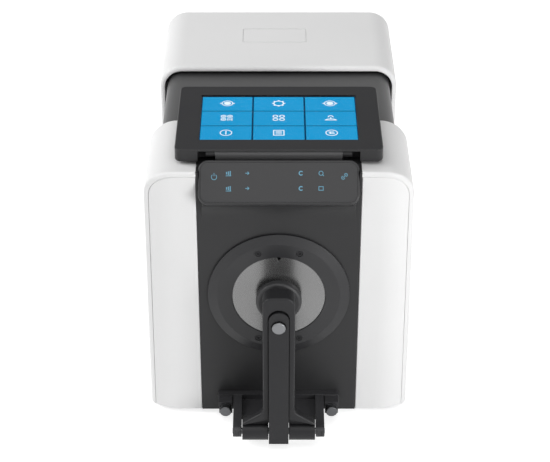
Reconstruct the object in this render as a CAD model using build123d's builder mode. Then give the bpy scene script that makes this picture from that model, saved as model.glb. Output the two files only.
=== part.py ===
from build123d import *
import os

os.makedirs("parts", exist_ok=True)

# Benchtop spectrophotometer. X runs across, +Z up, and the user stands at -Y. Depths are counted back
# from the face of the front strip, and heights up from the lower edge of the body.

# Fits shared by all pieces
slide_gap = 0.3
turn_gap = 0.3
run_gap = 0.06
hold_gap = 0.02
over_cut = 1

# Body: three arch-shaped sections in a row
foot_height = 5
body_height = 261
front_width = 240
front_draft_width = 2.5
front_depth = 97
front_corner_radius = 27
front_turn_width = 30
front_turn_depth = 16
middle_length = 111
rear_inset_width = 3
rear_length = 132
rear_corner_radius = 22
shell_wall_thickness = 3
rim_width = 4.5
rim_edge_radius = 2.4
rear_front_edge_radius = 4
rear_back_edge_radius = 2.5
rear_rim_depth = 8
cover_gap = 2.8
cover_wall_thickness = 2.5

# Front face
strip_width = 146
front_panel_thickness = 3.2
panel_groove_gap = 0.2
panel_edge_radius = 1
ledge_width = 4
deck_length = 60
cheek_thickness = 1.8
front_plate_width = 170
front_plate_thickness = 5
front_plate_radius = 6
front_plate_drop = 4

# Measuring port
port_drop = 75.5
ring_radius = 64.8
ring_bevel_width = 8.8
ring_proud_depth = 5
ring_edge_depth = 2.2
ring_spigot_width = 6.2
ring_lip_width = 3
target_radius = 42.3
target_thickness = 4
target_recess_depth = 0.8
aperture_radius = 12.7
aperture_bevel_depth = 2
notch_width = 6.5
notch_depth = 4.2
ring_screw_circle_radius = 50
ring_screw_spread_angle = 22
ring_screw_radius = 1.5
ring_screw_head_radius = 2.8
ring_screw_head_height = 1.8
ring_screw_key_radius = 1.3

# Key panel
key_inset_width = 2
key_face_run = 23.5
key_face_rise = 31.5
key_head_rise = 7.5
key_head_depth = 9.5
key_skin_thickness = 9
key_corner_radius = 9
key_edge_radius = 1.6
key_neck_drop = 28
key_neck_slope = 0.45
key_neck_inset_width = 2.5
key_neck_turn_radius = 11
key_rib_width = 7
key_board_thickness = 1.6
overlay_thickness = 0.8
overlay_margin = 2.2
overlay_gap = 0.15
deck_gap = 2
strip_top_rise = 3

# Display and its tilting hinge
display_width = 183.7
display_length = 123
display_thickness = 12.6
display_clearance = 4.5
display_lift = 2.4
display_corner_radius = 6
display_under_radius = 2.2
display_upper_radius = 0.6
display_wall_thickness = 2
display_bezel_width = 0.9
glass_thickness = 1.6
glass_gap = 0.1
optical_gap = 0.3
lcd_side_margin = 5.35
lcd_end_margin = 3.6
lcd_back_gap = 3.5
display_board_width = 90
display_board_length = 60
display_board_thickness = 1.6
hinge_setback_depth = 4
hinge_drop = 5
hinge_bar_width = 112
hinge_bar_radius = 3.1
hinge_foot_thickness = 6.2
hinge_recess_width = 15.5
hinge_recess_length = 2.7
display_pin_radius = 1.5
lug_width = 8

# Base plate and feet
plate_thickness = 4
plate_rim_height = 14
plate_rim_thickness = 3
plate_lift = 1
foot_radius = 11
foot_edge_length = 0.8
foot_inset_width = 14
foot_inset_length = 23
post_radius = 3.5
post_inset_length = 5

# Bulkhead, skirts, rails and compartment
bulkhead_thickness = 3
cable_slot_width = 60
cable_slot_height = 12
cable_slot_low_height = 40
floor_drop = 38.5
tray_thickness = 3
tray_top_gap = 1.2
tray_back_gap = 3
skirt_gap = 2
rail_width = 5.2
cover_start_gap = 0.8
cover_lap_length = 5
cover_lip_width = 5
cover_lip_thickness = 3
runner_thickness = 2.5
grip_count = 6
grip_pitch_length = 5
grip_width = 2
grip_proud_depth = 1
grip_setback_depth = 22
grip_low_drop = 95
grip_high_drop = 60

# Cuvette holder and its clamp
holder_width = 70
holder_plate_thickness = 4
holder_rise = 26
cuvette_gap = 13
holder_shelf_height = 5
rod_radius = 2.5
rod_spacing_width = 48
rod_rise = 12
rod_run_length = 62
rod_block_thickness = 6
rod_block_rise = 8
clamp_block_width = 64
clamp_block_length = 14
clamp_block_height = 14
clamp_plate_width = 52
clamp_plate_thickness = 4
clamp_plate_rise = 22
clamp_tab_width = 16
clamp_tab_length = 8
clamp_tab_height = 7
beam_radius = 12

# Rear cover and back panel
back_panel_recess_depth = 8
back_panel_thickness = 3
back_panel_gap = 0.1
cover_screw_radius = 1.5
cover_screw_gap = 0.2
cover_screw_head_height = 1.9
cover_screw_head_width = 0.2
boss_width = 10
boss_length = 10
boss_gap = 1
boss_low_height = 40
boss_high_height = 160
boss_top_width = 120
label_width = 64.5
label_length = 32
label_offset_width = -3.75
label_setback_depth = 73
label_depth = 0.6
label_radius = 2
vent_rows = 9
vent_low_height = 150
vent_pitch_height = 8
vent_height = 3
vent_width = 52
vent_gap = 16

# Sockets and switch on the back panel
socket_height = 45
jack_place_width = 70
jack_radius = 6
jack_flange_radius = 7
jack_flange_thickness = 1.5
jack_bore_radius = 3.2
jack_pin_radius = 1.05
jack_length = 14
jack_bore_length = 9
switch_place_width = 38
switch_body_width = 20.8
switch_body_height = 12.8
switch_flange_width = 24
switch_flange_height = 16
switch_flange_thickness = 1.2
switch_length = 14
switch_wall_thickness = 1.9
switch_cavity_height = 11.2
rocker_width = 16
rocker_hub_radius = 3.4
rocker_back_reach = 1
rocker_back_rise = 3.8
rocker_low_reach = 5.2
rocker_low_rise = 4.1
rocker_dip_reach = 4.2
rocker_high_reach = 6.4
rocker_high_rise = 4
rocker_pin_radius = 1
rocker_setback_depth = 4
usb_place_width = 6
usb_width = 11.8
usb_height = 10.8
usb_length = 16
usb_wall_thickness = 1.5
usb_bore_length = 8
usb_tongue_width = 5.6
usb_tongue_height = 3.2
serial_place_width = 50.5
serial_width = 30.8
serial_height = 11.8
serial_length = 10
serial_shroud_width = 19
serial_shroud_height = 8.8
serial_shroud_length = 4.5
serial_shroud_thickness = 0.8
serial_pin_radius = 0.5
serial_pin_pitch_width = 2.77
serial_row_pitch_height = 3

# Sphere, lamp and camera
sphere_radius = 38
sphere_wall_thickness = 4
sphere_depth = 50
sphere_flange_radius = 50
sphere_flange_thickness = 2
sphere_bolt_radius = 1.6
sphere_bolt_count = 6
sphere_bolt_setback = 4.5
port_neck_radius = 20
port_neck_thickness = 4
port_neck_start_depth = 1
port_neck_end_depth = 14
rear_neck_radius = 18
saddle_width = 32
saddle_length = 16
saddle_gap = 1
saddle_foot_width = 56
saddle_foot_length = 32
saddle_foot_thickness = 4
lamp_setback_depth = 20
lamp_bore_radius = 9
lamp_radius = 15
lamp_wall_thickness = 2.5
lamp_start_rise = 25
lamp_end_rise = 72
lamp_roof_thickness = 3
lamp_fin_count = 5
lamp_fin_pitch_height = 5
lamp_fin_thickness = 1.5
lamp_fin_width = 2.5
lamp_fin_drop = 8
bulb_socket_radius = 10
bulb_socket_height = 4
bulb_radius = 5.5
bulb_height = 15
camera_place_width = 67
camera_rise = 47
camera_width = 22
camera_length = 12
camera_lens_radius = 6
camera_lens_length = 10
camera_window_radius = 4
camera_window_depth = 2

# Lens tube, rear frame and spectrometer
tube_radius = 16
tube_flange_width = 4
tube_flange_thickness = 3
tube_bore_inset = 1
lens_step_length = 4
lens_radius = 40
lens_offset_depth = 37.4
lens_setback_depth = 1.1
frame_gap = 4
frame_thickness = 3
frame_end_gap = 17
spectrometer_width = 110
spectrometer_length = 84
spectrometer_height = 76
spectrometer_wall_thickness = 4
spectrometer_slit_radius = 5
lid_thickness = 3
lid_spigot_height = 2
lid_gap = 0.2
grating_width = 34
grating_thickness = 9
grating_curve_radius = 70
grating_hollow_depth = 5
detector_place_width = 32
detector_board_width = 36
detector_board_height = 28
detector_board_thickness = 1.6
detector_chip_width = 28
detector_chip_height = 10
detector_chip_thickness = 3
detector_window_width = 24
detector_window_height = 3
detector_window_depth = 0.6

# Boards on posts
board_thickness = 1.6
board_pitch = 2
solder_depth = 0.2
main_board_width = 160
main_board_margin = 11
main_board_height = 30
power_board_width = 120
power_board_front_margin = 22
power_board_back_margin = 37
power_board_height = 20
transformer_width = 34
transformer_length = 28
transformer_height = 26
can_radius = 7
can_height = 22
can_pitch_length = 18
can_place_width = 44
heat_sink_width = 21.5
heat_sink_length = 40
heat_sink_height = 18
heat_sink_foot_height = 3
heat_sink_place_width = 26
heat_sink_fin_thickness = 1.5
heat_sink_pitch_width = 4
heat_sink_fin_count = 6
power_margin_length = 12

# Sample arm and its bracket
pin_depth = -48
pin_height = 12
pin_radius = 3
pin_end_length = 0.4
pin_edge_length = 0.5
barrel_radius = 8.4
barrel_width = 67.4
knuckle_proud_depth = 0.7
ear_thickness = 7.9
ear_radius = 5.6
ear_gap = 0.9
ear_slot_width = 3.4
ear_slot_height = 8
ear_slot_depth = 1.4
bracket_width = 115
bracket_thickness = 6
bracket_low_height = 6
bracket_high_height = 22
bracket_radius = 3
bracket_web_height = 16
bracket_web_thickness = 5
bracket_web_gap = 18
arm_width = 29
arm_top_rise = 29.5
arm_front_depth = -52
arm_back_depth = -36
arm_corner_radius = 8.5
arm_edge_radius = 1.6
arm_flare_height = 36
arm_flare_radius = 8
arm_flare_rise = 2.6
arm_foot_thickness = 7
arm_wedge_depth = 4
arm_wedge_rise = 5.5
channel_width = 19.2
channel_depth = 3.5
channel_top_drop = 12.5
bar_width = 18.2
bar_front_depth = -53.5
bar_arch_rise = 6
bar_hole_radius = 6.6
guide_radius = 9.5
guide_length = 5
spring_room_start_width = 14
spring_room_end_width = 30
spring_room_radius = 6
torsion_spring_radius = 5.6
spring_bore_gap = 0.4

# Plunger, pad and thumbscrews
plunger_radius = 4
plunger_collar_radius = 6.3
plunger_collar_thickness = 1.4
plunger_room_radius = 6.6
plunger_room_inset = 5
plunger_room_wall = 1.5
plunger_spring_radius = 6.2
button_radius = 6.05
button_front_depth = -56.5
button_edge_length = 0.7
pad_radius = 20.8
pad_face_depth = -8.5
pad_thickness = 7.5
pad_front_edge_radius = 0.8
pad_back_edge_radius = 3
pad_neck_radius = 12
pad_neck_length = 6
pad_bore_radius = 5
ball_radius = 5.5
ball_setback_depth = 9
thumbscrew_spacing = 100
thumbscrew_height = 14
thumbscrew_radius = 5.4
thumbscrew_length = 6.7
thumbscrew_shank_radius = 2.5
thumbscrew_edge_length = 0.6
thumbscrew_gap = 0.2
knurl_radius = 0.45
knurl_count = 20
knurl_offset = 0.15
lug_length = 10
lug_face_width = 12.4
lug_face_height = 13

# Places worked out from the sizes above
bottom = foot_height
top = bottom + body_height
rear_width = front_width - 2 * rear_inset_width
rear_start = front_depth + middle_length
rear_end = rear_start + rear_length
rear_step = rear_start + rear_rim_depth
cover_start = front_depth + cover_start_gap
knuckle_radius = barrel_radius + knuckle_proud_depth
front_reach = pin_depth - knuckle_radius
origin_depth = (rear_end + front_reach) / 2
pin_z = bottom + pin_height
panel_depth = rear_end - back_panel_recess_depth
panel_end = panel_depth + back_panel_thickness
base_top = plate_lift + plate_thickness
plate_back = front_panel_thickness + front_plate_thickness
half_strip = strip_width / 2
half_plate = front_plate_width / 2
half_front_base = front_width / 2 - shell_wall_thickness - ledge_width
half_middle = rear_width / 2 - rim_width - cover_gap - cover_wall_thickness
half_rear_base = rear_width / 2 - shell_wall_thickness
half_cover = half_middle + cover_wall_thickness
cover_top = body_height - rim_width - cover_gap
ring_face_radius = ring_radius - ring_bevel_width
key_width = strip_width - 2 * key_inset_width
key_head_height = body_height + key_head_rise
key_foot_height = key_head_height - key_face_rise
key_foot_depth = key_head_depth - key_face_run
key_neck_low = key_foot_height - key_neck_drop
strip_face_top = key_foot_height + strip_top_rise
front_plate_top = key_neck_low - front_plate_drop
port_height = key_neck_low - port_drop
port_z = bottom + port_height
floor_height = port_height - floor_drop
arm_top_height = port_height + arm_top_rise
deck_start = key_head_depth + deck_gap
display_front = key_head_depth + display_clearance
display_bottom = body_height + display_lift
display_top = display_bottom + display_thickness
hinge_depth = display_front + hinge_setback_depth
hinge_height = display_top - hinge_drop
tray_end = rear_start - tray_back_gap
tray_top = cover_top - cover_wall_thickness - cover_lip_width - tray_top_gap
frame_start = rear_step + frame_gap
spectrometer_end = frame_start + spectrometer_length


def y(depth):
    """The Y place of a depth behind the face of the front strip."""
    return depth - origin_depth


def facing(depth):
    """A plane square to the depth, seen from the user's side, with X across and Z up."""
    return Plane(origin=(0, y(depth), 0), x_dir=(1, 0, 0), z_dir=(0, -1, 0))


def side(x):
    """A plane square to X, with depth across and height up."""
    return Plane(origin=(x, y(0), bottom), x_dir=(0, 1, 0), z_dir=(1, 0, 0))


def level(height):
    """A plane at a height above the body's lower edge, with X across and depth up the sheet."""
    return Plane(origin=(0, y(0), bottom + height), x_dir=(1, 0, 0), z_dir=(0, 0, 1))


def about(middle, size):
    """The two limits of a size laid about a middle."""
    return (middle - size / 2, middle + size / 2)


def mirrored(sign, near, far):
    """The two limits of a span on one side of the middle plane."""
    return tuple(sorted((sign * near, sign * far)))


def arch(half_top, half_foot, low, high, radius):
    """The outline of a section: straight sides, rounded upper corners."""
    with BuildSketch(mode=Mode.PRIVATE) as outline:
        with BuildLine():
            Polyline((-half_foot, low), (-half_top, high), (half_top, high), (half_foot, low), close=True)
        make_face()
        fillet(outline.vertices().sort_by(Axis.Y)[-2:], radius)
    return outline.sketch


def front_arch(inset, low=bottom):
    """The front section's outline, drawn in by an inset on its sides and top."""
    half = front_width / 2 - inset
    return arch(half, half + front_draft_width, low, top - inset, front_corner_radius - inset)


def rear_arch(inset, low=bottom):
    """The rear section's outline, drawn in by an inset on its sides and top."""
    half = rear_width / 2 - inset
    return arch(half, half, low, top - inset, rear_corner_radius - inset)


def front_block(set_back):
    """A tall block with the front face's plan: flat in the middle, turned back at both sides."""
    half = front_width / 2 + front_draft_width
    flat = half - front_turn_width
    with BuildPart() as block:
        with BuildSketch(level(-2 * foot_height)):
            with BuildLine():
                start = set_back
                turn = set_back + front_turn_depth
                Line((-flat, start), (flat, start))
                EllipticalCenterArc((flat, turn), front_turn_width, front_turn_depth, 270, arc_size=90)
                Line((half, turn), (half, front_depth))
                Line((half, front_depth), (-half, front_depth))
                Line((-half, front_depth), (-half, turn))
                EllipticalCenterArc((-flat, turn), front_turn_width, front_turn_depth, 180, arc_size=90)
            make_face()
        extrude(amount=body_height + 4 * foot_height)
    return block.part


def slab(face, front, back):
    """A block with a face outline between two depths."""
    with BuildPart(mode=Mode.PRIVATE) as block:
        with BuildSketch(facing(front)):
            add(face)
        extrude(amount=front - back)
    return block.part


def plate(outline, low, high):
    """A block with a plan outline between two heights."""
    with BuildPart(mode=Mode.PRIVATE) as block:
        with BuildSketch(level(low)):
            add(outline)
        extrude(amount=high - low)
    return block.part


def across(profile, left, right):
    """A block with a side profile, in depth and height, between two X places."""
    with BuildPart(mode=Mode.PRIVATE) as block:
        with BuildSketch(side(left)):
            add(profile)
        extrude(amount=right - left)
    return block.part


def rectangle(limits_a, limits_b, corner=0):
    """A rectangle given by its limits in the sheet's two directions."""
    with BuildSketch(mode=Mode.PRIVATE) as outline:
        with Locations(((limits_a[0] + limits_a[1]) / 2, (limits_b[0] + limits_b[1]) / 2)):
            Rectangle(limits_a[1] - limits_a[0], limits_b[1] - limits_b[0])
        if corner:
            fillet(outline.vertices(), corner)
    return outline.sketch


def disc(a, b, radius):
    """A circle at a place in the sheet."""
    with BuildSketch(mode=Mode.PRIVATE) as outline:
        with Locations((a, b)):
            Circle(radius)
    return outline.sketch


def polygon(*points):
    """A closed outline with straight sides."""
    with BuildSketch(mode=Mode.PRIVATE) as outline:
        with BuildLine():
            Polyline(*points, close=True)
        make_face()
    return outline.sketch


def box(x, depth, height, mode=Mode.ADD):
    """Adds or cuts a box given by its limits across, in depth and in height."""
    add(plate(rectangle(x, depth), height[0], height[1]), mode=mode)


def rod_along(depths, x, height, radius, mode=Mode.ADD):
    """Adds or cuts a round rod that runs in depth."""
    add(slab(disc(x, bottom + height, radius), depths[0], depths[1]), mode=mode)


def rod_across(places, depth, height, radius, mode=Mode.ADD):
    """Adds or cuts a round rod that runs across."""
    add(across(disc(depth, height, radius), places[0], places[1]), mode=mode)


def rod_up(x, depth, heights, radius, mode=Mode.ADD):
    """Adds or cuts a round rod that stands up."""
    add(plate(disc(x, depth, radius), heights[0], heights[1]), mode=mode)


def ball(depth, height, radius):
    """A ball on the middle plane."""
    with BuildPart(Plane((0, y(depth), bottom + height)), mode=Mode.PRIVATE) as body:
        Sphere(radius)
    return body.part


def turned(points, height):
    """A body turned about the line in depth at a height, from (radius, depth) points."""
    place = Plane(origin=(0, y(0), bottom + height), x_dir=(1, 0, 0), z_dir=(0, 0, 1))
    with BuildPart(mode=Mode.PRIVATE) as body:
        with BuildSketch(place):
            with BuildLine():
                Polyline(*points, close=True)
            make_face()
        revolve(axis=Axis(place.origin, (0, 1, 0)))
    return body.part


def port_ring_cut(depths, radius, circle_radius, angles, sides=0, mode=Mode.SUBTRACT):
    """Cuts or adds round or six-sided rods on a circle about the port."""
    for angle in angles:
        with BuildSketch(mode=Mode.PRIVATE) as place:
            with Locations((0, port_z)):
                with PolarLocations(circle_radius, 1, angle):
                    if sides:
                        RegularPolygon(radius, sides)
                    else:
                        Circle(radius)
        add(slab(place.sketch, depths[0], depths[1]), mode=mode)


def keep(builder, name):
    """Labels a finished piece and writes its file."""
    builder.part.label = name
    export_step(builder.part, f"parts/{name}.step")


# Front shell: an arch with a rim, a ledge behind the rim, and a cut for the strip
below = bottom - foot_height
ahead = -foot_height
panel_back = front_block(front_panel_thickness)
ledge_back = front_block(front_panel_thickness + ledge_width)
with BuildPart() as pocket:
    add(slab(front_arch(rim_width, below), ahead, front_depth))
    add(panel_back, mode=Mode.SUBTRACT)
with BuildPart() as cavity:
    add(slab(front_arch(shell_wall_thickness, below), 0, front_depth))
    add(ledge_back, mode=Mode.INTERSECT)
with BuildPart() as front_shell:
    add(slab(front_arch(0), 0, front_depth))
    add(front_block(0), mode=Mode.INTERSECT)
    seam = front_width / 2 + front_draft_width - front_turn_width
    near_front = front_shell.edges().filter_by(lambda e: e.center().Y < y(front_turn_depth + over_cut))
    outer = near_front.filter_by(lambda e: abs(abs(e.center().X) - seam) > over_cut)
    fillet(outer.filter_by(lambda e: e.center().Z > bottom + over_cut), rim_edge_radius)
    add(pocket.part, mode=Mode.SUBTRACT)
    add(slab(front_arch(rim_width + ledge_width, below), ahead, front_depth), mode=Mode.SUBTRACT)
    add(cavity.part, mode=Mode.SUBTRACT)
    box((-half_strip, half_strip), (ahead, deck_length), (ahead, body_height + foot_height), Mode.SUBTRACT)
keep(front_shell, "front_shell")

# White front panels, one each side of the strip, with softened front edges
facing_front = -0.3
for panel_side, panel_name in ((-1, "front_panel_left"), (1, "front_panel_right")):
    panel_limits = mirrored(panel_side, half_strip + panel_groove_gap, front_width)
    with BuildPart() as front_panel:
        add(slab(front_arch(rim_width + panel_groove_gap), 0, front_depth))
        add(front_block(0), mode=Mode.INTERSECT)
        add(panel_back, mode=Mode.SUBTRACT)
        box(panel_limits, (ahead, front_depth), (ahead, body_height), Mode.INTERSECT)
        front_faces = front_panel.faces().filter_by(lambda f: f.normal_at().Y < facing_front)
        face_edges = [e for f in front_faces for e in f.edges()]
        rim_edges = [e for e in face_edges if sum(e.is_same(other) for other in face_edges) == 1]
        fillet(rim_edges, panel_edge_radius)
    keep(front_panel, panel_name)

# Key panel's frame: the sloping face, and the block that its housing fills
half_key = key_width / 2
face_length = (key_face_rise**2 + key_face_run**2) ** 0.5
key_middle_depth = (key_foot_depth + key_head_depth) / 2
key_middle_height = (key_foot_height + key_head_height) / 2
key_plane = Plane(
    origin=(0, y(key_middle_depth), bottom + key_middle_height),
    x_dir=(1, 0, 0),
    z_dir=(0, -key_face_rise, key_face_run),
)
inward_depth = key_face_rise / face_length * key_skin_thickness
inward_height = -key_face_run / face_length * key_skin_thickness
deck_limits = (deck_start - slide_gap, deck_length)
above = (0, 2 * body_height)
with BuildPart() as key_block:
    with BuildSketch(key_plane):
        RectangleRounded(key_width, face_length, key_corner_radius)
    extrude(amount=-key_skin_thickness)

# Front strip: face plate with the port's hole, a neck that sweeps out under the key panel, cheeks beside
# it, and a deck under the display
cheek_inner = half_strip - cheek_thickness
neck_half = half_key - key_neck_inset_width
neck_nose = (key_foot_depth + inward_depth / 3, key_foot_height + inward_height / 3)
neck_back = (key_foot_depth + inward_depth, key_foot_height + inward_height + key_edge_radius)
with BuildPart() as neck:
    with BuildSketch(side(-neck_half), mode=Mode.PRIVATE) as neck_profile:
        with BuildLine():
            neck_low = (0, key_neck_low)
            throat = (-front_panel_thickness / 2, key_neck_low + key_neck_drop / 2)
            Spline(neck_low, throat, neck_nose, tangents=((0, 1), (-1, key_neck_slope)))
            Polyline(neck_nose, neck_back, (front_panel_thickness, strip_face_top))
            Polyline((front_panel_thickness, strip_face_top), (front_panel_thickness, key_neck_low), neck_low)
        make_face()
    add(across(neck_profile.sketch_local, -neck_half, neck_half))
    neck_depths = (neck_nose[0], front_panel_thickness + key_neck_turn_radius)
    neck_plan = rectangle((-neck_half, neck_half), neck_depths, key_neck_turn_radius)
    add(plate(neck_plan, key_neck_low, body_height), mode=Mode.INTERSECT)
    add(key_block.part, mode=Mode.SUBTRACT)
with BuildPart() as front_strip:
    box((-half_strip, half_strip), (0, front_panel_thickness), (0, strip_face_top))
    add(neck.part)
    for cheek_side in (-1, 1):
        cheek_limits = mirrored(cheek_side, cheek_inner, half_strip)
        box(cheek_limits, (0, deck_length), (key_neck_low, body_height))
    deck_heights = (body_height - front_panel_thickness, body_height)
    box((-half_strip, half_strip), (deck_start, deck_length), deck_heights)
    hole_depths = (-over_cut, front_panel_thickness + over_cut)
    port_hole_radius = ring_radius - ring_spigot_width + hold_gap
    rod_along(hole_depths, 0, port_height, port_hole_radius, Mode.SUBTRACT)
    for hole_x in about(0, thumbscrew_spacing):
        rod_along(hole_depths, hole_x, thumbscrew_height, thumbscrew_shank_radius + turn_gap, Mode.SUBTRACT)
keep(front_strip, "front_strip")

# Front plate: the metal plate that carries the port, the sphere and the sample arm
screw_angles = [a + s * ring_screw_spread_angle for a in (90, 270) for s in (-1, 1)]
with BuildPart() as front_plate:
    plate_heights = (bottom + base_top, bottom + front_plate_top)
    plate_face = rectangle((-half_plate, half_plate), plate_heights, front_plate_radius)
    add(slab(plate_face, front_panel_thickness, plate_back))
    plate_cut = (0, plate_back + over_cut)
    rod_along(plate_cut, 0, port_height, target_radius + ring_lip_width, Mode.SUBTRACT)
    for hole_x in about(0, thumbscrew_spacing):
        rod_along(plate_cut, hole_x, thumbscrew_height, thumbscrew_shank_radius + run_gap, Mode.SUBTRACT)
    port_ring_cut(plate_cut, ring_screw_radius + hold_gap, ring_screw_circle_radius, screw_angles)
keep(front_plate, "front_plate")

# Port ring: bevelled, with a ledge inside for the target plate
ledge_depth = target_thickness - ring_proud_depth + target_recess_depth + turn_gap
screw_seat_depth = -ring_proud_depth + turn_gap + ring_screw_head_height
with BuildPart() as port_ring:
    ring_section = [
        (target_radius + turn_gap, -ring_proud_depth),
        (ring_face_radius, -ring_proud_depth),
        (ring_radius, -ring_edge_depth),
        (ring_radius, 0),
        (ring_radius - ring_spigot_width, 0),
        (ring_radius - ring_spigot_width, front_panel_thickness),
        (target_radius - ring_lip_width, front_panel_thickness),
        (target_radius - ring_lip_width, ledge_depth),
        (target_radius + turn_gap, ledge_depth),
    ]
    add(turned(ring_section, port_height))
    seat = (-ring_proud_depth - over_cut, screw_seat_depth)
    port_ring_cut(seat, ring_screw_head_radius + turn_gap, ring_screw_circle_radius, screw_angles)
    ring_through = (-ring_proud_depth, plate_back)
    port_ring_cut(ring_through, ring_screw_radius + turn_gap, ring_screw_circle_radius, screw_angles)
keep(port_ring, "port_ring")

with BuildPart() as ring_screws:
    head_start = screw_seat_depth - ring_screw_head_height
    head = (head_start, screw_seat_depth)
    port_ring_cut(head, ring_screw_head_radius, ring_screw_circle_radius, screw_angles, 0, Mode.ADD)
    shank = (screw_seat_depth - ring_screw_head_height / 2, plate_back - over_cut)
    port_ring_cut(shank, ring_screw_radius, ring_screw_circle_radius, screw_angles, 0, Mode.ADD)
    recess = (head_start - over_cut, head_start + ring_screw_head_height / 2)
    port_ring_cut(recess, ring_screw_key_radius, ring_screw_circle_radius, screw_angles, 6)
keep(ring_screws, "ring_screws")

# Target plate: light disc with the measuring aperture, which locks by a short turn
target_front = -ring_proud_depth + target_recess_depth
target_back = target_front + target_thickness
with BuildPart() as target_plate:
    target_section = [
        (aperture_radius + aperture_bevel_depth, target_front),
        (target_radius, target_front),
        (target_radius, target_back),
        (aperture_radius, target_back),
        (aperture_radius, target_front + aperture_bevel_depth),
    ]
    add(turned(target_section, port_height))
    rim_z = port_z + target_radius
    notch_top = rim_z + over_cut
    notch = polygon((-notch_width / 2, notch_top), (notch_width / 2, notch_top), (0, rim_z - notch_depth))
    add(slab(notch, target_front - over_cut, target_back + over_cut), mode=Mode.SUBTRACT)
keep(target_plate, "target_plate")

# Key panel's housing, touch sheet and board
with BuildPart() as key_housing:
    add(key_block.part)
    face_edges = key_housing.edges().filter_by(lambda e: key_plane.to_local_coords(e.center()).Z > -slide_gap)
    fillet(face_edges, key_edge_radius)
    with BuildSketch(key_plane.offset(-key_skin_thickness / 2)):
        Rectangle(key_width - 2 * key_rib_width, face_length - 2 * key_rib_width)
    extrude(amount=-key_skin_thickness, mode=Mode.SUBTRACT)
    with BuildSketch(key_plane):
        sheet_radius = key_corner_radius - overlay_margin
        RectangleRounded(key_width - 2 * overlay_margin, face_length - 2 * overlay_margin, sheet_radius)
    extrude(amount=-overlay_thickness, mode=Mode.SUBTRACT)
    box((-key_width, key_width), deck_limits, above, Mode.SUBTRACT)
keep(key_housing, "key_housing")

with BuildPart() as key_overlay:
    with BuildSketch(key_plane.offset(-overlay_thickness)):
        margin = overlay_margin + overlay_gap
        RectangleRounded(key_width - 2 * margin, face_length - 2 * margin, key_corner_radius - margin)
    extrude(amount=overlay_thickness)
keep(key_overlay, "key_overlay")

with BuildPart() as key_board:
    with BuildSketch(key_plane.offset(-key_skin_thickness / 2 - key_board_thickness)):
        board_margin = key_rib_width + over_cut
        Rectangle(key_width - 2 * board_margin, face_length - 2 * board_margin)
    extrude(amount=key_board_thickness)
keep(key_board, "key_board")

# Display: back tray, glass, panel and board, on a hinge bar along its front edge
half_display = display_width / 2
display_back_edge = display_front + display_length
half_bar = hinge_bar_width / 2
half_notch = half_bar + hinge_recess_width
notch_roof = hinge_height + hinge_bar_radius + slide_gap
notch_end = hinge_depth + hinge_bar_radius + hinge_recess_length
glass_low = display_top - glass_thickness
display_depths = (display_front, display_back_edge)
with BuildPart() as display_back:
    display_outline = rectangle(about(0, display_width), display_depths, display_corner_radius)
    add(plate(display_outline, display_bottom, display_top))
    fillet(display_back.faces().sort_by(Axis.Z)[0].edges(), display_under_radius)
    fillet(display_back.faces().sort_by(Axis.Z)[-1].edges(), display_upper_radius)
    seat_x = about(0, display_width - 2 * display_bezel_width)
    seat_y = (display_front + display_bezel_width, display_back_edge - display_bezel_width)
    seat_outline = rectangle(seat_x, seat_y, display_corner_radius - display_bezel_width)
    add(plate(seat_outline, glass_low, display_top + over_cut), mode=Mode.SUBTRACT)
    pocket_margin = 2 * display_wall_thickness
    pocket_x = (-half_display + pocket_margin, half_display - pocket_margin)
    pocket_y = (notch_end + display_wall_thickness, display_back_edge - pocket_margin)
    box(pocket_x, pocket_y, (display_bottom + display_wall_thickness, display_top), Mode.SUBTRACT)
    notch_heights = (display_bottom - over_cut, notch_roof)
    box((-half_notch, half_notch), (display_front - over_cut, notch_end), notch_heights, Mode.SUBTRACT)
    for lug_side in (-1, 1):
        lug_limits = mirrored(lug_side, half_bar + slide_gap, half_bar + slide_gap + lug_width)
        box(lug_limits, (hinge_depth, notch_end), (hinge_height - hinge_bar_radius, notch_roof))
        rod_across(lug_limits, hinge_depth, hinge_height, hinge_bar_radius)
    pin_reach = half_bar + slide_gap + lug_width
    bore_limits = (-pin_reach - over_cut, pin_reach + over_cut)
    rod_across(bore_limits, hinge_depth, hinge_height, display_pin_radius + hold_gap, Mode.SUBTRACT)
keep(display_back, "display_back")

with BuildPart() as display_glass:
    glass_margin = display_bezel_width + glass_gap
    glass_x = (-half_display + glass_margin, half_display - glass_margin)
    glass_y = (display_front + glass_margin, display_back_edge - glass_margin)
    add(plate(rectangle(glass_x, glass_y, display_corner_radius - glass_margin), glass_low, display_top))
keep(display_glass, "display_glass")

board_low = display_bottom + display_wall_thickness
board_high = board_low + display_board_thickness
with BuildPart() as display_board:
    board_middle = (pocket_y[0] + pocket_y[1]) / 2
    box(about(0, display_board_width), about(board_middle, display_board_length), (board_low, board_high))
keep(display_board, "display_board")

with BuildPart() as display_panel:
    lcd_x = (pocket_x[0] + lcd_side_margin, pocket_x[1] - lcd_side_margin)
    lcd_y = (pocket_y[0] + lcd_end_margin, pocket_y[1] - lcd_end_margin)
    box(lcd_x, lcd_y, (board_high + lcd_back_gap, glass_low - optical_gap))
keep(display_panel, "display_panel")

with BuildPart() as hinge_bar:
    rod_across((-half_bar, half_bar), hinge_depth, hinge_height, hinge_bar_radius)
    box((-half_bar, half_bar), about(hinge_depth, hinge_foot_thickness), (body_height, hinge_height))
    rod_across((-half_bar, half_bar), hinge_depth, hinge_height, display_pin_radius + run_gap, Mode.SUBTRACT)
keep(hinge_bar, "hinge_bar")

with BuildPart() as display_pin:
    rod_across((-pin_reach, pin_reach), hinge_depth, hinge_height, display_pin_radius)
keep(display_pin, "display_pin")

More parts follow.
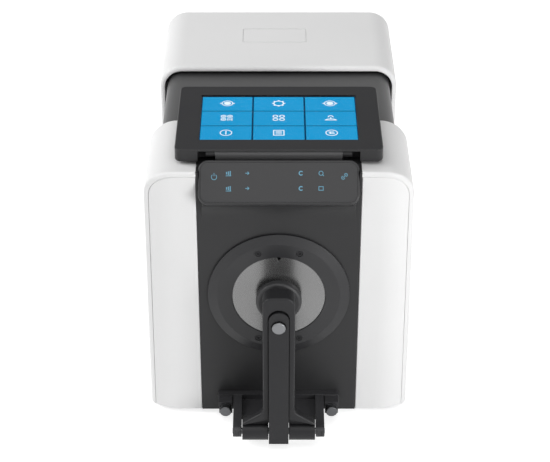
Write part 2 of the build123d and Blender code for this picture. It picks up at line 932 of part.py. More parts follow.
# Base plate: floor with an upturned rim, stepped in where the middle section is narrower, and posts for
# the two boards
half_main = main_board_width / 2
half_power = power_board_width / 2
main_board_y = (front_depth + main_board_margin, rear_start - main_board_margin)
power_board_y = (rear_start + power_board_front_margin, panel_depth - power_board_back_margin)
board_places = [(half_main, main_board_y, main_board_height), (half_power, power_board_y, power_board_height)]
front_turn_end = front_turn_depth + plate_back + plate_rim_thickness
base_steps = [(half_front_base, front_turn_end), (half_front_base, front_depth), (half_middle, front_depth)]
base_steps += [(half_middle, rear_step), (half_rear_base, rear_step), (half_rear_base, panel_depth)]
base_outline = [(half_plate, plate_back)] + base_steps
base_points = base_outline + [(-x, depth) for x, depth in reversed(base_outline)]
with BuildPart() as base_plate:
    add(plate(polygon(*base_points), plate_lift, base_top + plate_rim_height))
    with BuildSketch(level(0), mode=Mode.PRIVATE) as base_inside:
        add(polygon(*base_points))
        offset(amount=-plate_rim_thickness, kind=Kind.INTERSECTION)
    add(plate(base_inside.sketch_local, base_top, base_top + plate_rim_height + over_cut), mode=Mode.SUBTRACT)
    for half_board, board_ends, post_height in board_places:
        for post_x in about(0, 2 * (half_board - post_inset_length)):
            for post_depth in (board_ends[0] + post_inset_length, board_ends[1] - post_inset_length):
                rod_up(post_x, post_depth, (base_top - over_cut, post_height), post_radius)
keep(base_plate, "base_plate")

foot_x_places = about(0, 2 * (half_middle - foot_inset_width))
foot_depths = (plate_back + foot_inset_length, panel_depth - foot_inset_length)
with BuildPart() as rubber_feet:
    for foot_x in foot_x_places:
        for foot_depth in foot_depths:
            rod_up(foot_x, foot_depth, (-foot_height, plate_lift), foot_radius)
    chamfer(rubber_feet.faces().sort_by(Axis.Z)[:4].edges(), foot_edge_length)
keep(rubber_feet, "rubber_feet")

# Bulkhead: closes the front section and carries the beam's window
with BuildPart() as bulkhead:
    bulkhead_start = front_depth - bulkhead_thickness
    through_bulkhead = (bulkhead_start - over_cut, front_depth + over_cut)
    add(slab(front_arch(shell_wall_thickness, below), bulkhead_start, front_depth))
    box((-front_width, front_width), through_bulkhead, (ahead, base_top + plate_rim_height), Mode.SUBTRACT)
    rod_along(through_bulkhead, 0, port_height, beam_radius, Mode.SUBTRACT)
    cable_heights = (cable_slot_low_height, cable_slot_low_height + cable_slot_height)
    box(about(0, cable_slot_width), through_bulkhead, cable_heights, Mode.SUBTRACT)
keep(bulkhead, "bulkhead")

# Middle section: fixed skirts below, rails, and the sliding cover above
for skirt_side, skirt_name in ((-1, "skirt_left"), (1, "skirt_right")):
    with BuildPart() as skirt:
        skirt_limits = mirrored(skirt_side, half_middle, half_cover)
        box(skirt_limits, (front_depth, rear_step - skirt_gap), (plate_lift, floor_height))
    keep(skirt, skirt_name)

rail_outer = half_middle - slide_gap
rail_inner = rail_outer - rail_width
with BuildPart() as cover_rails:
    for rail_side in (-1, 1):
        rail_limits = mirrored(rail_side, rail_inner, rail_outer)
        box(rail_limits, (front_depth, panel_depth), (floor_height, floor_height + rail_width))
keep(cover_rails, "cover_rails")

cover_low = floor_height + slide_gap
cover_corner = rear_corner_radius - rim_width - cover_gap
cover_end = rear_start + cover_lap_length
runner_low = floor_height + rail_width + slide_gap
inner_corner = cover_corner - cover_wall_thickness
inside_top = bottom + cover_top - cover_wall_thickness
lip_half = half_middle - cover_lip_width
weld = cover_wall_thickness / 2
outside = arch(half_cover, half_cover, bottom + cover_low, bottom + cover_top, cover_corner)
inside = arch(half_middle, half_middle, bottom, inside_top, inner_corner)
lip_root = half_middle + weld
lip_outside = arch(lip_root, lip_root, bottom + runner_low, inside_top + weld, inner_corner)
lip_inside = arch(lip_half, lip_half, bottom, inside_top - cover_lip_width, inner_corner - cover_lip_width)
lip_end = cover_start + cover_lip_thickness
with BuildPart() as front_lip:
    add(slab(lip_outside, cover_start, lip_end))
    add(slab(lip_inside, cover_start - over_cut, lip_end + over_cut), mode=Mode.SUBTRACT)
with BuildPart() as sliding_cover:
    add(slab(outside, cover_start, cover_end))
    add(slab(inside, cover_start - over_cut, cover_end + over_cut), mode=Mode.SUBTRACT)
    for runner_side in (-1, 1):
        runner_limits = mirrored(runner_side, rail_inner, lip_root)
        box(runner_limits, (cover_start, cover_end), (runner_low, runner_low + runner_thickness))
        grip_limits = mirrored(runner_side, half_cover - weld, half_cover + grip_proud_depth)
        for grip in range(grip_count):
            grip_depth = front_depth + grip_setback_depth + grip_pitch_length * grip
            grip_heights = (cover_top - grip_low_drop, cover_top - grip_high_drop)
            box(grip_limits, (grip_depth, grip_depth + grip_width), grip_heights)
    add(front_lip.part)
keep(sliding_cover, "sliding_cover")

# Compartment tray: floor and rear wall
with BuildPart() as compartment_tray:
    tray_low = floor_height - tray_thickness
    box((-half_middle, half_middle), (front_depth, tray_end), (tray_low, floor_height))
    half_wall = rail_inner - over_cut
    box((-half_wall, half_wall), (tray_end - tray_thickness, tray_end), (tray_low, tray_top))
    wall_cut = (tray_end - tray_thickness - over_cut, tray_end + over_cut)
    rod_along(wall_cut, 0, port_height, tube_radius + hold_gap, Mode.SUBTRACT)
keep(compartment_tray, "compartment_tray")

# Cuvette holder with guide rods, and its sliding clamp
holder_back = front_depth + holder_plate_thickness
clamp_front = holder_back + cuvette_gap
clamp_back = clamp_front + clamp_plate_thickness
rod_end = front_depth + rod_run_length
rod_height = floor_height + rod_rise
with BuildPart() as cuvette_holder:
    holder_x = about(0, holder_width)
    shelf_end = clamp_front - over_cut
    box(holder_x, (front_depth, holder_back), (floor_height, port_height + holder_rise))
    box(holder_x, (holder_back, shelf_end), (floor_height, floor_height + holder_shelf_height))
    box(holder_x, (rod_end, rod_end + rod_block_thickness), (floor_height, rod_height + rod_block_rise))
    for rod_x in about(0, rod_spacing_width):
        rod_along((front_depth + over_cut, rod_end + over_cut), rod_x, rod_height, rod_radius)
    rod_along((front_depth - over_cut, holder_back + over_cut), 0, port_height, beam_radius, Mode.SUBTRACT)
keep(cuvette_holder, "cuvette_holder")

with BuildPart() as cuvette_clamp:
    block_end = clamp_front + clamp_block_length
    plate_top = port_height + clamp_plate_rise
    box(about(0, clamp_block_width), (clamp_front, block_end), about(rod_height, clamp_block_height))
    box(about(0, clamp_plate_width), (clamp_front, clamp_back), (rod_height, plate_top))
    clamp_cut = (clamp_front - over_cut, block_end + over_cut)
    rod_along(clamp_cut, 0, port_height, beam_radius, Mode.SUBTRACT)
    for rod_x in about(0, rod_spacing_width):
        rod_along(clamp_cut, rod_x, rod_height, rod_radius + run_gap, Mode.SUBTRACT)
    tab_depths = (clamp_back, clamp_back + clamp_tab_length)
    box(about(0, clamp_tab_width), tab_depths, (plate_top - clamp_tab_height, plate_top))
keep(cuvette_clamp, "cuvette_clamp")

# Rear cover: arch with a rim at its front, a recessed plain label place on top, and screw bosses inside
boss_half = boss_width / 2
boss_start = panel_depth - boss_length
boss_side_x = half_rear_base - boss_half - boss_gap
boss_side_end = half_rear_base + shell_wall_thickness / 2
boss_top_z = body_height - shell_wall_thickness - boss_half - boss_gap
boss_top_end = body_height - shell_wall_thickness / 2
bosses = []
for boss_sign in (-1, 1):
    for boss_z in (boss_low_height, boss_high_height):
        boss_x_limits = mirrored(boss_sign, boss_side_x - boss_half, boss_side_end)
        bosses.append((boss_sign * boss_side_x, boss_z, boss_x_limits, about(boss_z, boss_width)))
    boss_top_x = boss_sign * boss_top_width / 2
    boss_top_limits = about(boss_top_x, boss_width)
    bosses.append((boss_top_x, boss_top_z, boss_top_limits, (boss_top_z - boss_half, boss_top_end)))
with BuildPart() as rear_cover:
    add(slab(rear_arch(0), rear_start, rear_end))
    front_rim = rear_cover.faces().sort_by(Axis.Y)[0].edges()
    fillet(front_rim.filter_by(lambda e: e.center().Z > bottom + over_cut), rear_front_edge_radius)
    back_rim = rear_cover.faces().sort_by(Axis.Y)[-1].edges()
    fillet(back_rim.filter_by(lambda e: e.center().Z > bottom + over_cut), rear_back_edge_radius)
    add(slab(rear_arch(rim_width, below), rear_start - over_cut, rear_step), mode=Mode.SUBTRACT)
    inner_space = rear_arch(shell_wall_thickness, below)
    add(slab(inner_space, rear_step - hold_gap, rear_end + over_cut), mode=Mode.SUBTRACT)
    for boss_x, boss_z, boss_x_limits, boss_z_limits in bosses:
        box(boss_x_limits, (boss_start, panel_depth), boss_z_limits)
        boss_cut = (boss_start - over_cut, panel_depth + over_cut)
        rod_along(boss_cut, boss_x, boss_z, cover_screw_radius + hold_gap, Mode.SUBTRACT)
    label_x = about(label_offset_width, label_width)
    label_depths = about(rear_start + label_setback_depth, label_length)
    label_outline = rectangle(label_x, label_depths, label_radius)
    add(plate(label_outline, body_height - label_depth, body_height + over_cut), mode=Mode.SUBTRACT)
keep(rear_cover, "rear_cover")

# Back panel with vents, and what plugs in there
panel_cut = (panel_depth - over_cut, panel_end + over_cut)
with BuildPart() as back_panel:
    add(slab(rear_arch(shell_wall_thickness + back_panel_gap), panel_depth, panel_end))
    for boss_x, boss_z, boss_x_limits, boss_z_limits in bosses:
        rod_along(panel_cut, boss_x, boss_z, cover_screw_radius + cover_screw_gap, Mode.SUBTRACT)
    for row in range(vent_rows):
        vent_z = vent_low_height + vent_pitch_height * row
        for vent_side in (-1, 1):
            vent_limits = mirrored(vent_side, vent_gap / 2, vent_gap / 2 + vent_width)
            box(vent_limits, panel_cut, (vent_z, vent_z + vent_height), Mode.SUBTRACT)
    rod_along(panel_cut, -jack_place_width, socket_height, jack_radius, Mode.SUBTRACT)
    fit = 2 * back_panel_gap
    sockets = [(-switch_place_width, switch_body_width, switch_body_height)]
    sockets.append((usb_place_width, usb_width, usb_height))
    sockets.append((serial_place_width, serial_width, serial_height))
    for socket_x, socket_width, socket_rise in sockets:
        socket_heights = about(socket_height, socket_rise + fit)
        box(about(socket_x, socket_width + fit), panel_cut, socket_heights, Mode.SUBTRACT)
keep(back_panel, "back_panel")

with BuildPart() as power_jack:
    jack_x = -jack_place_width
    jack_bore_start = panel_end - jack_bore_length
    rod_along((panel_end - jack_length, panel_end), jack_x, socket_height, jack_radius - hold_gap)
    rod_along((panel_end, panel_end + jack_flange_thickness), jack_x, socket_height, jack_flange_radius)
    jack_cut = (jack_bore_start, panel_end + 2 * jack_flange_thickness)
    rod_along(jack_cut, jack_x, socket_height, jack_bore_radius, Mode.SUBTRACT)
    rod_along((jack_bore_start - over_cut, panel_end), jack_x, socket_height, jack_pin_radius)
keep(power_jack, "power_jack")

rocker_depth = panel_end - rocker_setback_depth
switch_cavity_width = switch_body_width - 2 * switch_wall_thickness
with BuildPart() as switch_frame:
    switch_x = -switch_place_width
    switch_cavity_start = panel_end - switch_length + switch_wall_thickness
    switch_body_limits = about(switch_x, switch_body_width)
    box(switch_body_limits, (panel_end - switch_length, panel_end), about(socket_height, switch_body_height))
    flange_depths = (panel_end, panel_end + switch_flange_thickness)
    box(about(switch_x, switch_flange_width), flange_depths, about(socket_height, switch_flange_height))
    cavity_depths = (switch_cavity_start, panel_end + 2 * switch_flange_thickness)
    cavity_heights = about(socket_height, switch_cavity_height)
    box(about(switch_x, switch_cavity_width), cavity_depths, cavity_heights, Mode.SUBTRACT)
    pivot_limits = about(switch_x, switch_body_width - switch_wall_thickness)
    rod_across(pivot_limits, rocker_depth, socket_height, rocker_pin_radius - run_gap)
keep(switch_frame, "switch_frame")

with BuildPart() as switch_rocker:
    rocker_limits = about(switch_x, rocker_width)
    rod_across(rocker_limits, rocker_depth, socket_height, rocker_hub_radius)
    rocker_profile = polygon(
        (rocker_depth - rocker_back_reach, socket_height - rocker_back_rise),
        (rocker_depth + rocker_low_reach, socket_height - rocker_low_rise),
        (rocker_depth + rocker_dip_reach, socket_height),
        (rocker_depth + rocker_high_reach, socket_height + rocker_high_rise),
        (rocker_depth - rocker_back_reach, socket_height + rocker_back_rise),
    )
    add(across(rocker_profile, *rocker_limits))
    pivot_cut = about(switch_x, switch_body_width)
    rod_across(pivot_cut, rocker_depth, socket_height, rocker_pin_radius, Mode.SUBTRACT)
keep(switch_rocker, "switch_rocker")

with BuildPart() as usb_port:
    usb_bore_width = usb_width - 2 * usb_wall_thickness
    usb_bore_height = usb_height - 2 * usb_wall_thickness
    usb_bore_start = panel_end - usb_bore_length
    usb_depths = (panel_end - usb_length, panel_end)
    box(about(usb_place_width, usb_width), usb_depths, about(socket_height, usb_height))
    usb_cut = (usb_bore_start, panel_end + over_cut)
    box(about(usb_place_width, usb_bore_width), usb_cut, about(socket_height, usb_bore_height), Mode.SUBTRACT)
    tongue_depths = (usb_bore_start - over_cut, panel_end - over_cut)
    tongue_heights = about(socket_height, usb_tongue_height)
    box(about(usb_place_width, usb_tongue_width), tongue_depths, tongue_heights)
keep(usb_port, "usb_port")

with BuildPart() as serial_port:
    shroud_end = panel_end + serial_shroud_length
    shroud_x = about(serial_place_width, serial_shroud_width)
    serial_body_depths = (panel_end - serial_length, panel_end)
    box(about(serial_place_width, serial_width), serial_body_depths, about(socket_height, serial_height))
    box(shroud_x, (panel_end, shroud_end), about(socket_height, serial_shroud_height))
    bore_width = serial_shroud_width - 2 * serial_shroud_thickness
    bore_height = serial_shroud_height - 2 * serial_shroud_thickness
    bore_depths = (panel_end - over_cut, shroud_end + over_cut)
    contact_depths = (panel_end - 2 * over_cut, shroud_end - over_cut)
    box(about(serial_place_width, bore_width), bore_depths, about(socket_height, bore_height), Mode.SUBTRACT)
    for row_sign, pin_count in ((1, 5), (-1, 4)):
        contact_z = socket_height + row_sign * serial_row_pitch_height / 2
        for pin_index in range(pin_count):
            contact_x = serial_place_width + serial_pin_pitch_width * (pin_index - (pin_count - 1) / 2)
            rod_along(contact_depths, contact_x, contact_z, serial_pin_radius)
keep(serial_port, "serial_port")

# Integrating sphere in two halves with bolted flanges, on a saddle
sphere_outer = sphere_radius + sphere_wall_thickness
lamp_depth = sphere_depth - lamp_setback_depth
sphere_bolt_angles = [360 / sphere_bolt_count * (bolt + 0.5) for bolt in range(sphere_bolt_count)]
half_ends = (("sphere_front", (0, sphere_depth)), ("sphere_rear", (sphere_depth, front_depth)))
for half_name, half_limits in half_ends:
    with BuildPart() as sphere_half:
        add(ball(sphere_depth, port_height, sphere_outer))
        flange = about(sphere_depth, 2 * sphere_flange_thickness)
        rod_along(flange, 0, port_height, sphere_flange_radius)
        rod_along((port_neck_start_depth, port_neck_end_depth), 0, port_height, port_neck_radius)
        rear_neck = (sphere_depth + sphere_radius, front_depth - bulkhead_thickness)
        rod_along(rear_neck, 0, port_height, rear_neck_radius)
        add(ball(sphere_depth, port_height, sphere_radius), mode=Mode.SUBTRACT)
        port_bore = (0, sphere_depth - sphere_radius / 2)
        rod_along(port_bore, 0, port_height, port_neck_radius - port_neck_thickness, Mode.SUBTRACT)
        rod_along((sphere_depth, front_depth), 0, port_height, beam_radius, Mode.SUBTRACT)
        lamp_bore_heights = (port_height + sphere_radius / 2, port_height + 2 * sphere_radius)
        rod_up(0, lamp_depth, lamp_bore_heights, lamp_bore_radius, Mode.SUBTRACT)
        bolt_circle = sphere_outer + sphere_bolt_setback
        port_ring_cut((0, front_depth), sphere_bolt_radius, bolt_circle, sphere_bolt_angles)
        around = about(0, 4 * sphere_radius)
        box(around, half_limits, about(port_height, 4 * sphere_radius), Mode.INTERSECT)
    keep(sphere_half, half_name)

with BuildPart() as sphere_bracket:
    saddle_top = port_height - sphere_outer - saddle_gap
    foot_heights = (base_top, base_top + saddle_foot_thickness)
    box(about(0, saddle_width), about(sphere_depth, saddle_length), (base_top, saddle_top))
    box(about(0, saddle_foot_width), about(sphere_depth, saddle_foot_length), foot_heights)
    rod_along((0, front_depth), 0, port_height, sphere_flange_radius + hold_gap, Mode.SUBTRACT)
keep(sphere_bracket, "sphere_bracket")

# Flash lamp over the sphere's top port
lamp_top = port_height + lamp_end_rise
lamp_roof = lamp_top - lamp_roof_thickness
with BuildPart() as lamp_housing:
    rod_up(0, lamp_depth, (port_height + lamp_start_rise, lamp_top), lamp_radius)
    for fin in range(lamp_fin_count):
        fin_z = lamp_top - lamp_fin_drop - lamp_fin_pitch_height * fin
        rod_up(0, lamp_depth, (fin_z, fin_z + lamp_fin_thickness), lamp_radius + lamp_fin_width)
    add(ball(sphere_depth, port_height, sphere_outer + hold_gap), mode=Mode.SUBTRACT)
    rod_up(0, lamp_depth, (port_height, lamp_roof), lamp_radius - lamp_wall_thickness, Mode.SUBTRACT)
keep(lamp_housing, "lamp_housing")

with BuildPart() as flash_lamp:
    bulb_top = lamp_roof - bulb_socket_height
    bulb_low = bulb_top - bulb_height
    rod_up(0, lamp_depth, (bulb_top, lamp_roof), bulb_socket_radius)
    rod_up(0, lamp_depth, (bulb_low, bulb_top), bulb_radius)
    add(ball(lamp_depth, bulb_low, bulb_radius))
keep(flash_lamp, "flash_lamp")

# Camera that looks for the sample, on the front plate's back
with BuildPart() as locating_camera:
    camera_z = port_height + camera_rise
    camera_end = plate_back + camera_length
    eye_end = camera_end + camera_lens_length
    box(about(camera_place_width, camera_width), (plate_back, camera_end), about(camera_z, camera_width))
    rod_along((camera_end, eye_end), camera_place_width, camera_z, camera_lens_radius)
    eye_cut = (eye_end - camera_window_depth, eye_end + over_cut)
    rod_along(eye_cut, camera_place_width, camera_z, camera_window_radius, Mode.SUBTRACT)
keep(locating_camera, "locating_camera")

# Lens tube in the compartment's rear wall, with its lens
lens_step = tray_end + lens_step_length
tube_flange_end = tray_end - tray_thickness
tube_start = tube_flange_end - tube_flange_thickness
with BuildPart() as lens_tube:
    rod_along((tube_start, frame_start), 0, port_height, tube_radius)
    rod_along((tube_start, tube_flange_end), 0, port_height, tube_radius + tube_flange_width)
    tube_cut = (tube_start - over_cut, frame_start + over_cut)
    rod_along(tube_cut, 0, port_height, beam_radius - tube_bore_inset, Mode.SUBTRACT)
    lens_seat = (tube_start - over_cut, lens_step)
    rod_along(lens_seat, 0, port_height, beam_radius + tube_bore_inset, Mode.SUBTRACT)
keep(lens_tube, "lens_tube")

lens_middle = lens_step - lens_setback_depth
with BuildPart() as lens:
    add(ball(lens_middle + lens_offset_depth, port_height, lens_radius))
    add(ball(lens_middle - lens_offset_depth, port_height, lens_radius), mode=Mode.INTERSECT)
    lens_rim_radius = beam_radius + tube_bore_inset - 2 * run_gap
    rod_along(about(lens_middle, beam_radius), 0, port_height, lens_rim_radius, Mode.INTERSECT)
keep(lens, "lens")

# Rear frame: shelf on two walls
frame_end = panel_depth - frame_end_gap
with BuildPart() as rear_frame:
    box((-rail_outer, rail_outer), (frame_start, frame_end), (floor_height - frame_thickness, floor_height))
    for wall_side in (-1, 1):
        wall_limits = mirrored(wall_side, rail_outer - frame_thickness, rail_outer)
        box(wall_limits, (frame_start, frame_end), (base_top, floor_height - over_cut))
keep(rear_frame, "rear_frame")

# Spectrometer: cast box with its lid, grating and detector
spectrometer_top = floor_height + spectrometer_height
inner_width = spectrometer_width - 2 * spectrometer_wall_thickness
inner_depths = (frame_start + spectrometer_wall_thickness, spectrometer_end - spectrometer_wall_thickness)
spectrometer_x = about(0, spectrometer_width)
with BuildPart() as spectrometer_body:
    box(spectrometer_x, (frame_start, spectrometer_end), (floor_height, spectrometer_top))
    inner_heights = (floor_height + spectrometer_wall_thickness, spectrometer_top + over_cut)
    box(about(0, inner_width), inner_depths, inner_heights, Mode.SUBTRACT)
    slit_cut = (frame_start - over_cut, inner_depths[0] + over_cut)
    rod_along(slit_cut, 0, port_height, spectrometer_slit_radius, Mode.SUBTRACT)
keep(spectrometer_body, "spectrometer_body")

with BuildPart() as spectrometer_lid:
    box(spectrometer_x, (frame_start, spectrometer_end), (spectrometer_top, spectrometer_top + lid_thickness))
    spigot_depths = (inner_depths[0] + lid_gap, inner_depths[1] - lid_gap)
    spigot_heights = (spectrometer_top - lid_spigot_height, spectrometer_top)
    box(about(0, inner_width - 2 * lid_gap), spigot_depths, spigot_heights)
keep(spectrometer_lid, "spectrometer_lid")

with BuildPart() as grating:
    grating_back = inner_depths[1]
    grating_face = grating_back - grating_thickness
    box(about(0, grating_width), (grating_face, grating_back), about(port_height, grating_width))
    curve_depth = grating_face + grating_hollow_depth - grating_curve_radius
    add(ball(curve_depth, port_height, grating_curve_radius), mode=Mode.SUBTRACT)
keep(grating, "grating")

with BuildPart() as detector_array:
    detector_back = inner_depths[0]
    chip_start = detector_back + detector_board_thickness
    chip_end = chip_start + detector_chip_thickness
    detector_board_x = about(detector_place_width, detector_board_width)
    box(detector_board_x, (detector_back, chip_start), about(port_height, detector_board_height))
    chip_heights = about(port_height, detector_chip_height)
    box(about(detector_place_width, detector_chip_width), (chip_start, chip_end), chip_heights)
    window_depths = (chip_end - detector_window_depth, chip_end + over_cut)
    window_heights = about(port_height, detector_window_height)
    box(about(detector_place_width, detector_window_width), window_depths, window_heights, Mode.SUBTRACT)
keep(detector_array, "detector_array")

# Boards on the base plate's posts. The small parts are counted in grid steps: across, back, width, length
# and height
main_parts = [(-20, 20, 13, 13, 1.5), (5, 22, 9, 9, 1.2), (22, 15, 15, 7, 1), (-27, 36, 17, 4, 4.5)]
main_parts += [(0, 38, 22, 3.5, 4.5), (26, 34, 12, 6, 3), (-31, 11, 9, 9, 5), (-10, 7, 6, 6, 1)]
with BuildPart() as main_board:
    main_top = main_board_height + board_thickness
    box((-half_main, half_main), main_board_y, (main_board_height, main_top))
    for across_steps, back_steps, wide, long, tall in main_parts:
        chip_x = about(across_steps * board_pitch, wide * board_pitch)
        chip_y = about(main_board_y[0] + back_steps * board_pitch, long * board_pitch)
        box(chip_x, chip_y, (main_top - solder_depth, main_top + tall * board_pitch))
keep(main_board, "main_board")

with BuildPart() as power_board:
    power_top = power_board_height + board_thickness
    power_foot = power_top - solder_depth
    power_start = power_board_y[0] + power_margin_length
    box((-half_power, half_power), power_board_y, (power_board_height, power_top))
    transformer_depths = (power_start, power_start + transformer_length)
    box(about(0, transformer_width), transformer_depths, (power_foot, power_top + transformer_height))
    for can in range(3):
        can_depth = power_start + can_radius + can_pitch_length * can
        rod_up(-can_place_width, can_depth, (power_foot, power_top + can_height), can_radius)
    sink_depths = (power_start, power_start + heat_sink_length)
    sink_limits = (heat_sink_place_width, heat_sink_place_width + heat_sink_width)
    box(sink_limits, sink_depths, (power_foot, power_top + heat_sink_foot_height))
    for fin in range(heat_sink_fin_count):
        fin_x = heat_sink_place_width + heat_sink_pitch_width * fin
        box((fin_x, fin_x + heat_sink_fin_thickness), sink_depths, (power_foot, power_top + heat_sink_height))
keep(power_board, "power_board")

# Bracket of the sample arm: foot plate, two lugs for the thumbscrews, two ears with slots, and a web
half_barrel = barrel_width / 2
ear_inner = half_barrel + ear_gap
ear_outer = ear_inner + ear_thickness
lug_front = -bracket_thickness - lug_length
screw_places = about(0, thumbscrew_spacing)
with BuildPart() as arm_bracket:
    bracket_heights = (bottom + bracket_low_height, bottom + bracket_high_height)
    bracket_face = rectangle(about(0, bracket_width), bracket_heights, bracket_radius)
    add(slab(bracket_face, -bracket_thickness, 0))
    for screw_x in screw_places:
        lug_heights = about(thumbscrew_height + run_gap, lug_face_height)
        box(about(screw_x, lug_face_width), (lug_front, -bracket_thickness), lug_heights)
    for ear_side in (-1, 1):
        ear_limits = mirrored(ear_side, ear_inner, ear_outer)
        ear_profile = polygon(
            (-bracket_thickness / 2, bracket_low_height),
            (-bracket_thickness / 2, bracket_high_height),
            (pin_depth, pin_height + ear_radius),
            (pin_depth, pin_height - ear_radius),
        )
        add(across(ear_profile, *ear_limits))
        rod_across(ear_limits, pin_depth, pin_height, ear_radius)
        slot_limits = about(ear_side * (ear_inner + ear_outer) / 2, ear_slot_width)
        slot_depths = (pin_depth - 2 * ear_radius, pin_depth - ear_radius + ear_slot_depth)
        box(slot_limits, slot_depths, about(pin_height, ear_slot_height), Mode.SUBTRACT)
    web_heights = (bracket_web_height - bracket_web_thickness, bracket_web_height)
    box((-ear_outer, ear_outer), (pin_depth + bracket_web_gap, 0), web_heights)
    ear_bore = (-ear_outer - over_cut, ear_outer + over_cut)
    rod_across(ear_bore, pin_depth, pin_height, pin_radius + hold_gap, Mode.SUBTRACT)
    for screw_x in screw_places:
        lug_cut = (lug_front - over_cut, over_cut)
        rod_along(lug_cut, screw_x, thumbscrew_height, thumbscrew_shank_radius + run_gap, Mode.SUBTRACT)
keep(arm_bracket, "arm_bracket")

with BuildPart() as hinge_pin:
    pin_end = ear_outer + pin_end_length
    rod_across((-pin_end, pin_end), pin_depth, pin_height, pin_radius)
    chamfer(hinge_pin.edges().filter_by(GeomType.CIRCLE), pin_edge_length)
keep(hinge_pin, "hinge_pin")

arm_bore_radius = pin_radius + run_gap
with BuildPart() as arm_springs:
    for spring_side in (-1, 1):
        room_start = spring_room_start_width + slide_gap
        room_end = spring_room_end_width - slide_gap
        spring_limits = mirrored(spring_side, room_start, room_end)
        rod_across(spring_limits, pin_depth, pin_height, torsion_spring_radius)
        spring_bore = mirrored(spring_side, room_start - over_cut, room_end + over_cut)
        rod_across(spring_bore, pin_depth, pin_height, pin_radius + spring_bore_gap, Mode.SUBTRACT)
keep(arm_springs, "arm_springs")

# Sample arm: bar with a channel in its face, flared foot, and a barrel on the pin
half_arm = arm_width / 2
half_channel = channel_width / 2
half_centre_bar = bar_width / 2
channel_floor = arm_front_depth + channel_depth
guide_back = arm_back_depth + guide_length
flare_z = bottom + arm_flare_height
foot_top = pin_z + barrel_radius + arm_flare_rise
arm_top_z = bottom + arm_top_height
foot_points = [(half_arm, flare_z), (half_barrel, foot_top), (half_barrel, pin_z)]
arm_points = [(half_arm, arm_top_z)] + foot_points
with BuildPart() as sample_arm:
    with BuildSketch(mode=Mode.PRIVATE) as arm_face:
        add(polygon(*arm_points, *[(-x, z) for x, z in reversed(arm_points)]))
        fillet(arm_face.vertices().filter_by(lambda v: abs(v.Y - flare_z) < slide_gap), arm_flare_radius)
    add(slab(arm_face.sketch, arm_front_depth, arm_front_depth + arm_foot_thickness))
    bar_outline = rectangle((-half_arm, half_arm), (flare_z - arm_flare_radius, arm_top_z))
    add(slab(bar_outline, arm_front_depth, arm_back_depth))
    fillet(sample_arm.edges().filter_by(Axis.Y).group_by(Axis.Z)[-1], arm_corner_radius)
    front_edges = sample_arm.faces().sort_by(Axis.Y)[0].edges()
    fillet(front_edges.filter_by(lambda e: e.center().Z > flare_z + arm_flare_height), arm_edge_radius)
    for wedge_side in (-1, 1):
        wedge = polygon(
            (wedge_side * half_barrel, pin_z),
            (wedge_side * half_barrel, foot_top - arm_flare_rise / 2),
            (wedge_side * half_centre_bar, foot_top + arm_wedge_rise),
            (wedge_side * half_centre_bar, pin_z),
        )
        wedge_depths = (arm_front_depth - over_cut, arm_front_depth + arm_wedge_depth)
        add(slab(wedge, *wedge_depths), mode=Mode.SUBTRACT)
    rod_across((-half_barrel, half_barrel), pin_depth, pin_height, barrel_radius)
    rod_along((arm_back_depth - over_cut, guide_back), 0, port_height, guide_radius)
    crown = arm_top_height - channel_top_drop - half_channel
    channel_face = rectangle((-half_channel, half_channel), (below, bottom + crown))
    channel_depths = (front_reach - over_cut, channel_floor)
    add(slab(channel_face, *channel_depths), mode=Mode.SUBTRACT)
    rod_along(channel_depths, 0, crown, half_channel, Mode.SUBTRACT)
    rod_across((-half_channel, half_channel), pin_depth, pin_height, knuckle_radius + turn_gap, Mode.SUBTRACT)
    bore_reach = half_barrel + over_cut
    rod_across((-bore_reach, bore_reach), pin_depth, pin_height, arm_bore_radius, Mode.SUBTRACT)
    for spring_side in (-1, 1):
        room_limits = mirrored(spring_side, spring_room_start_width, spring_room_end_width)
        rod_across(room_limits, pin_depth, pin_height, spring_room_radius, Mode.SUBTRACT)
    guide_bore = (arm_front_depth - over_cut, guide_back + over_cut)
    rod_along(guide_bore, 0, port_height, plunger_radius + run_gap, Mode.SUBTRACT)
    plunger_room = (arm_front_depth + plunger_room_inset, guide_back - plunger_room_wall)
    rod_along(plunger_room, 0, port_height, plunger_room_radius, Mode.SUBTRACT)
keep(sample_arm, "sample_arm")

# Centre bar: sunk in the arm's channel, arched over the button, with a knuckle on the pin
arch_height = port_height + bar_arch_rise
with BuildPart() as arm_centre_bar:
    knuckle_front = pin_depth - knuckle_radius
    bar_profile = polygon(
        (channel_floor, arch_height + half_centre_bar),
        (bar_front_depth, arch_height + half_centre_bar),
        (knuckle_front, pin_height + pin_radius),
        (knuckle_front, pin_height - knuckle_radius + knuckle_proud_depth),
        (knuckle_front + knuckle_proud_depth, pin_height - knuckle_radius),
        (pin_depth, pin_height - knuckle_radius),
        (channel_floor, pin_height + knuckle_radius),
    )
    add(across(bar_profile, -half_centre_bar, half_centre_bar))
    with BuildSketch(mode=Mode.PRIVATE) as bar_face:
        add(rectangle((-half_centre_bar, half_centre_bar), (below, bottom + arch_height)))
        with Locations((0, bottom + arch_height)):
            Circle(half_centre_bar)
    add(slab(bar_face.sketch, knuckle_front - over_cut, 0), mode=Mode.INTERSECT)
    rod_across((-half_centre_bar, half_centre_bar), pin_depth, pin_height, knuckle_radius)
    rod_across((-half_barrel, half_barrel), pin_depth, pin_height, arm_bore_radius, Mode.SUBTRACT)
    button_way = (knuckle_front - over_cut, channel_floor + over_cut)
    rod_along(button_way, 0, port_height, bar_hole_radius, Mode.SUBTRACT)
keep(arm_centre_bar, "arm_centre_bar")

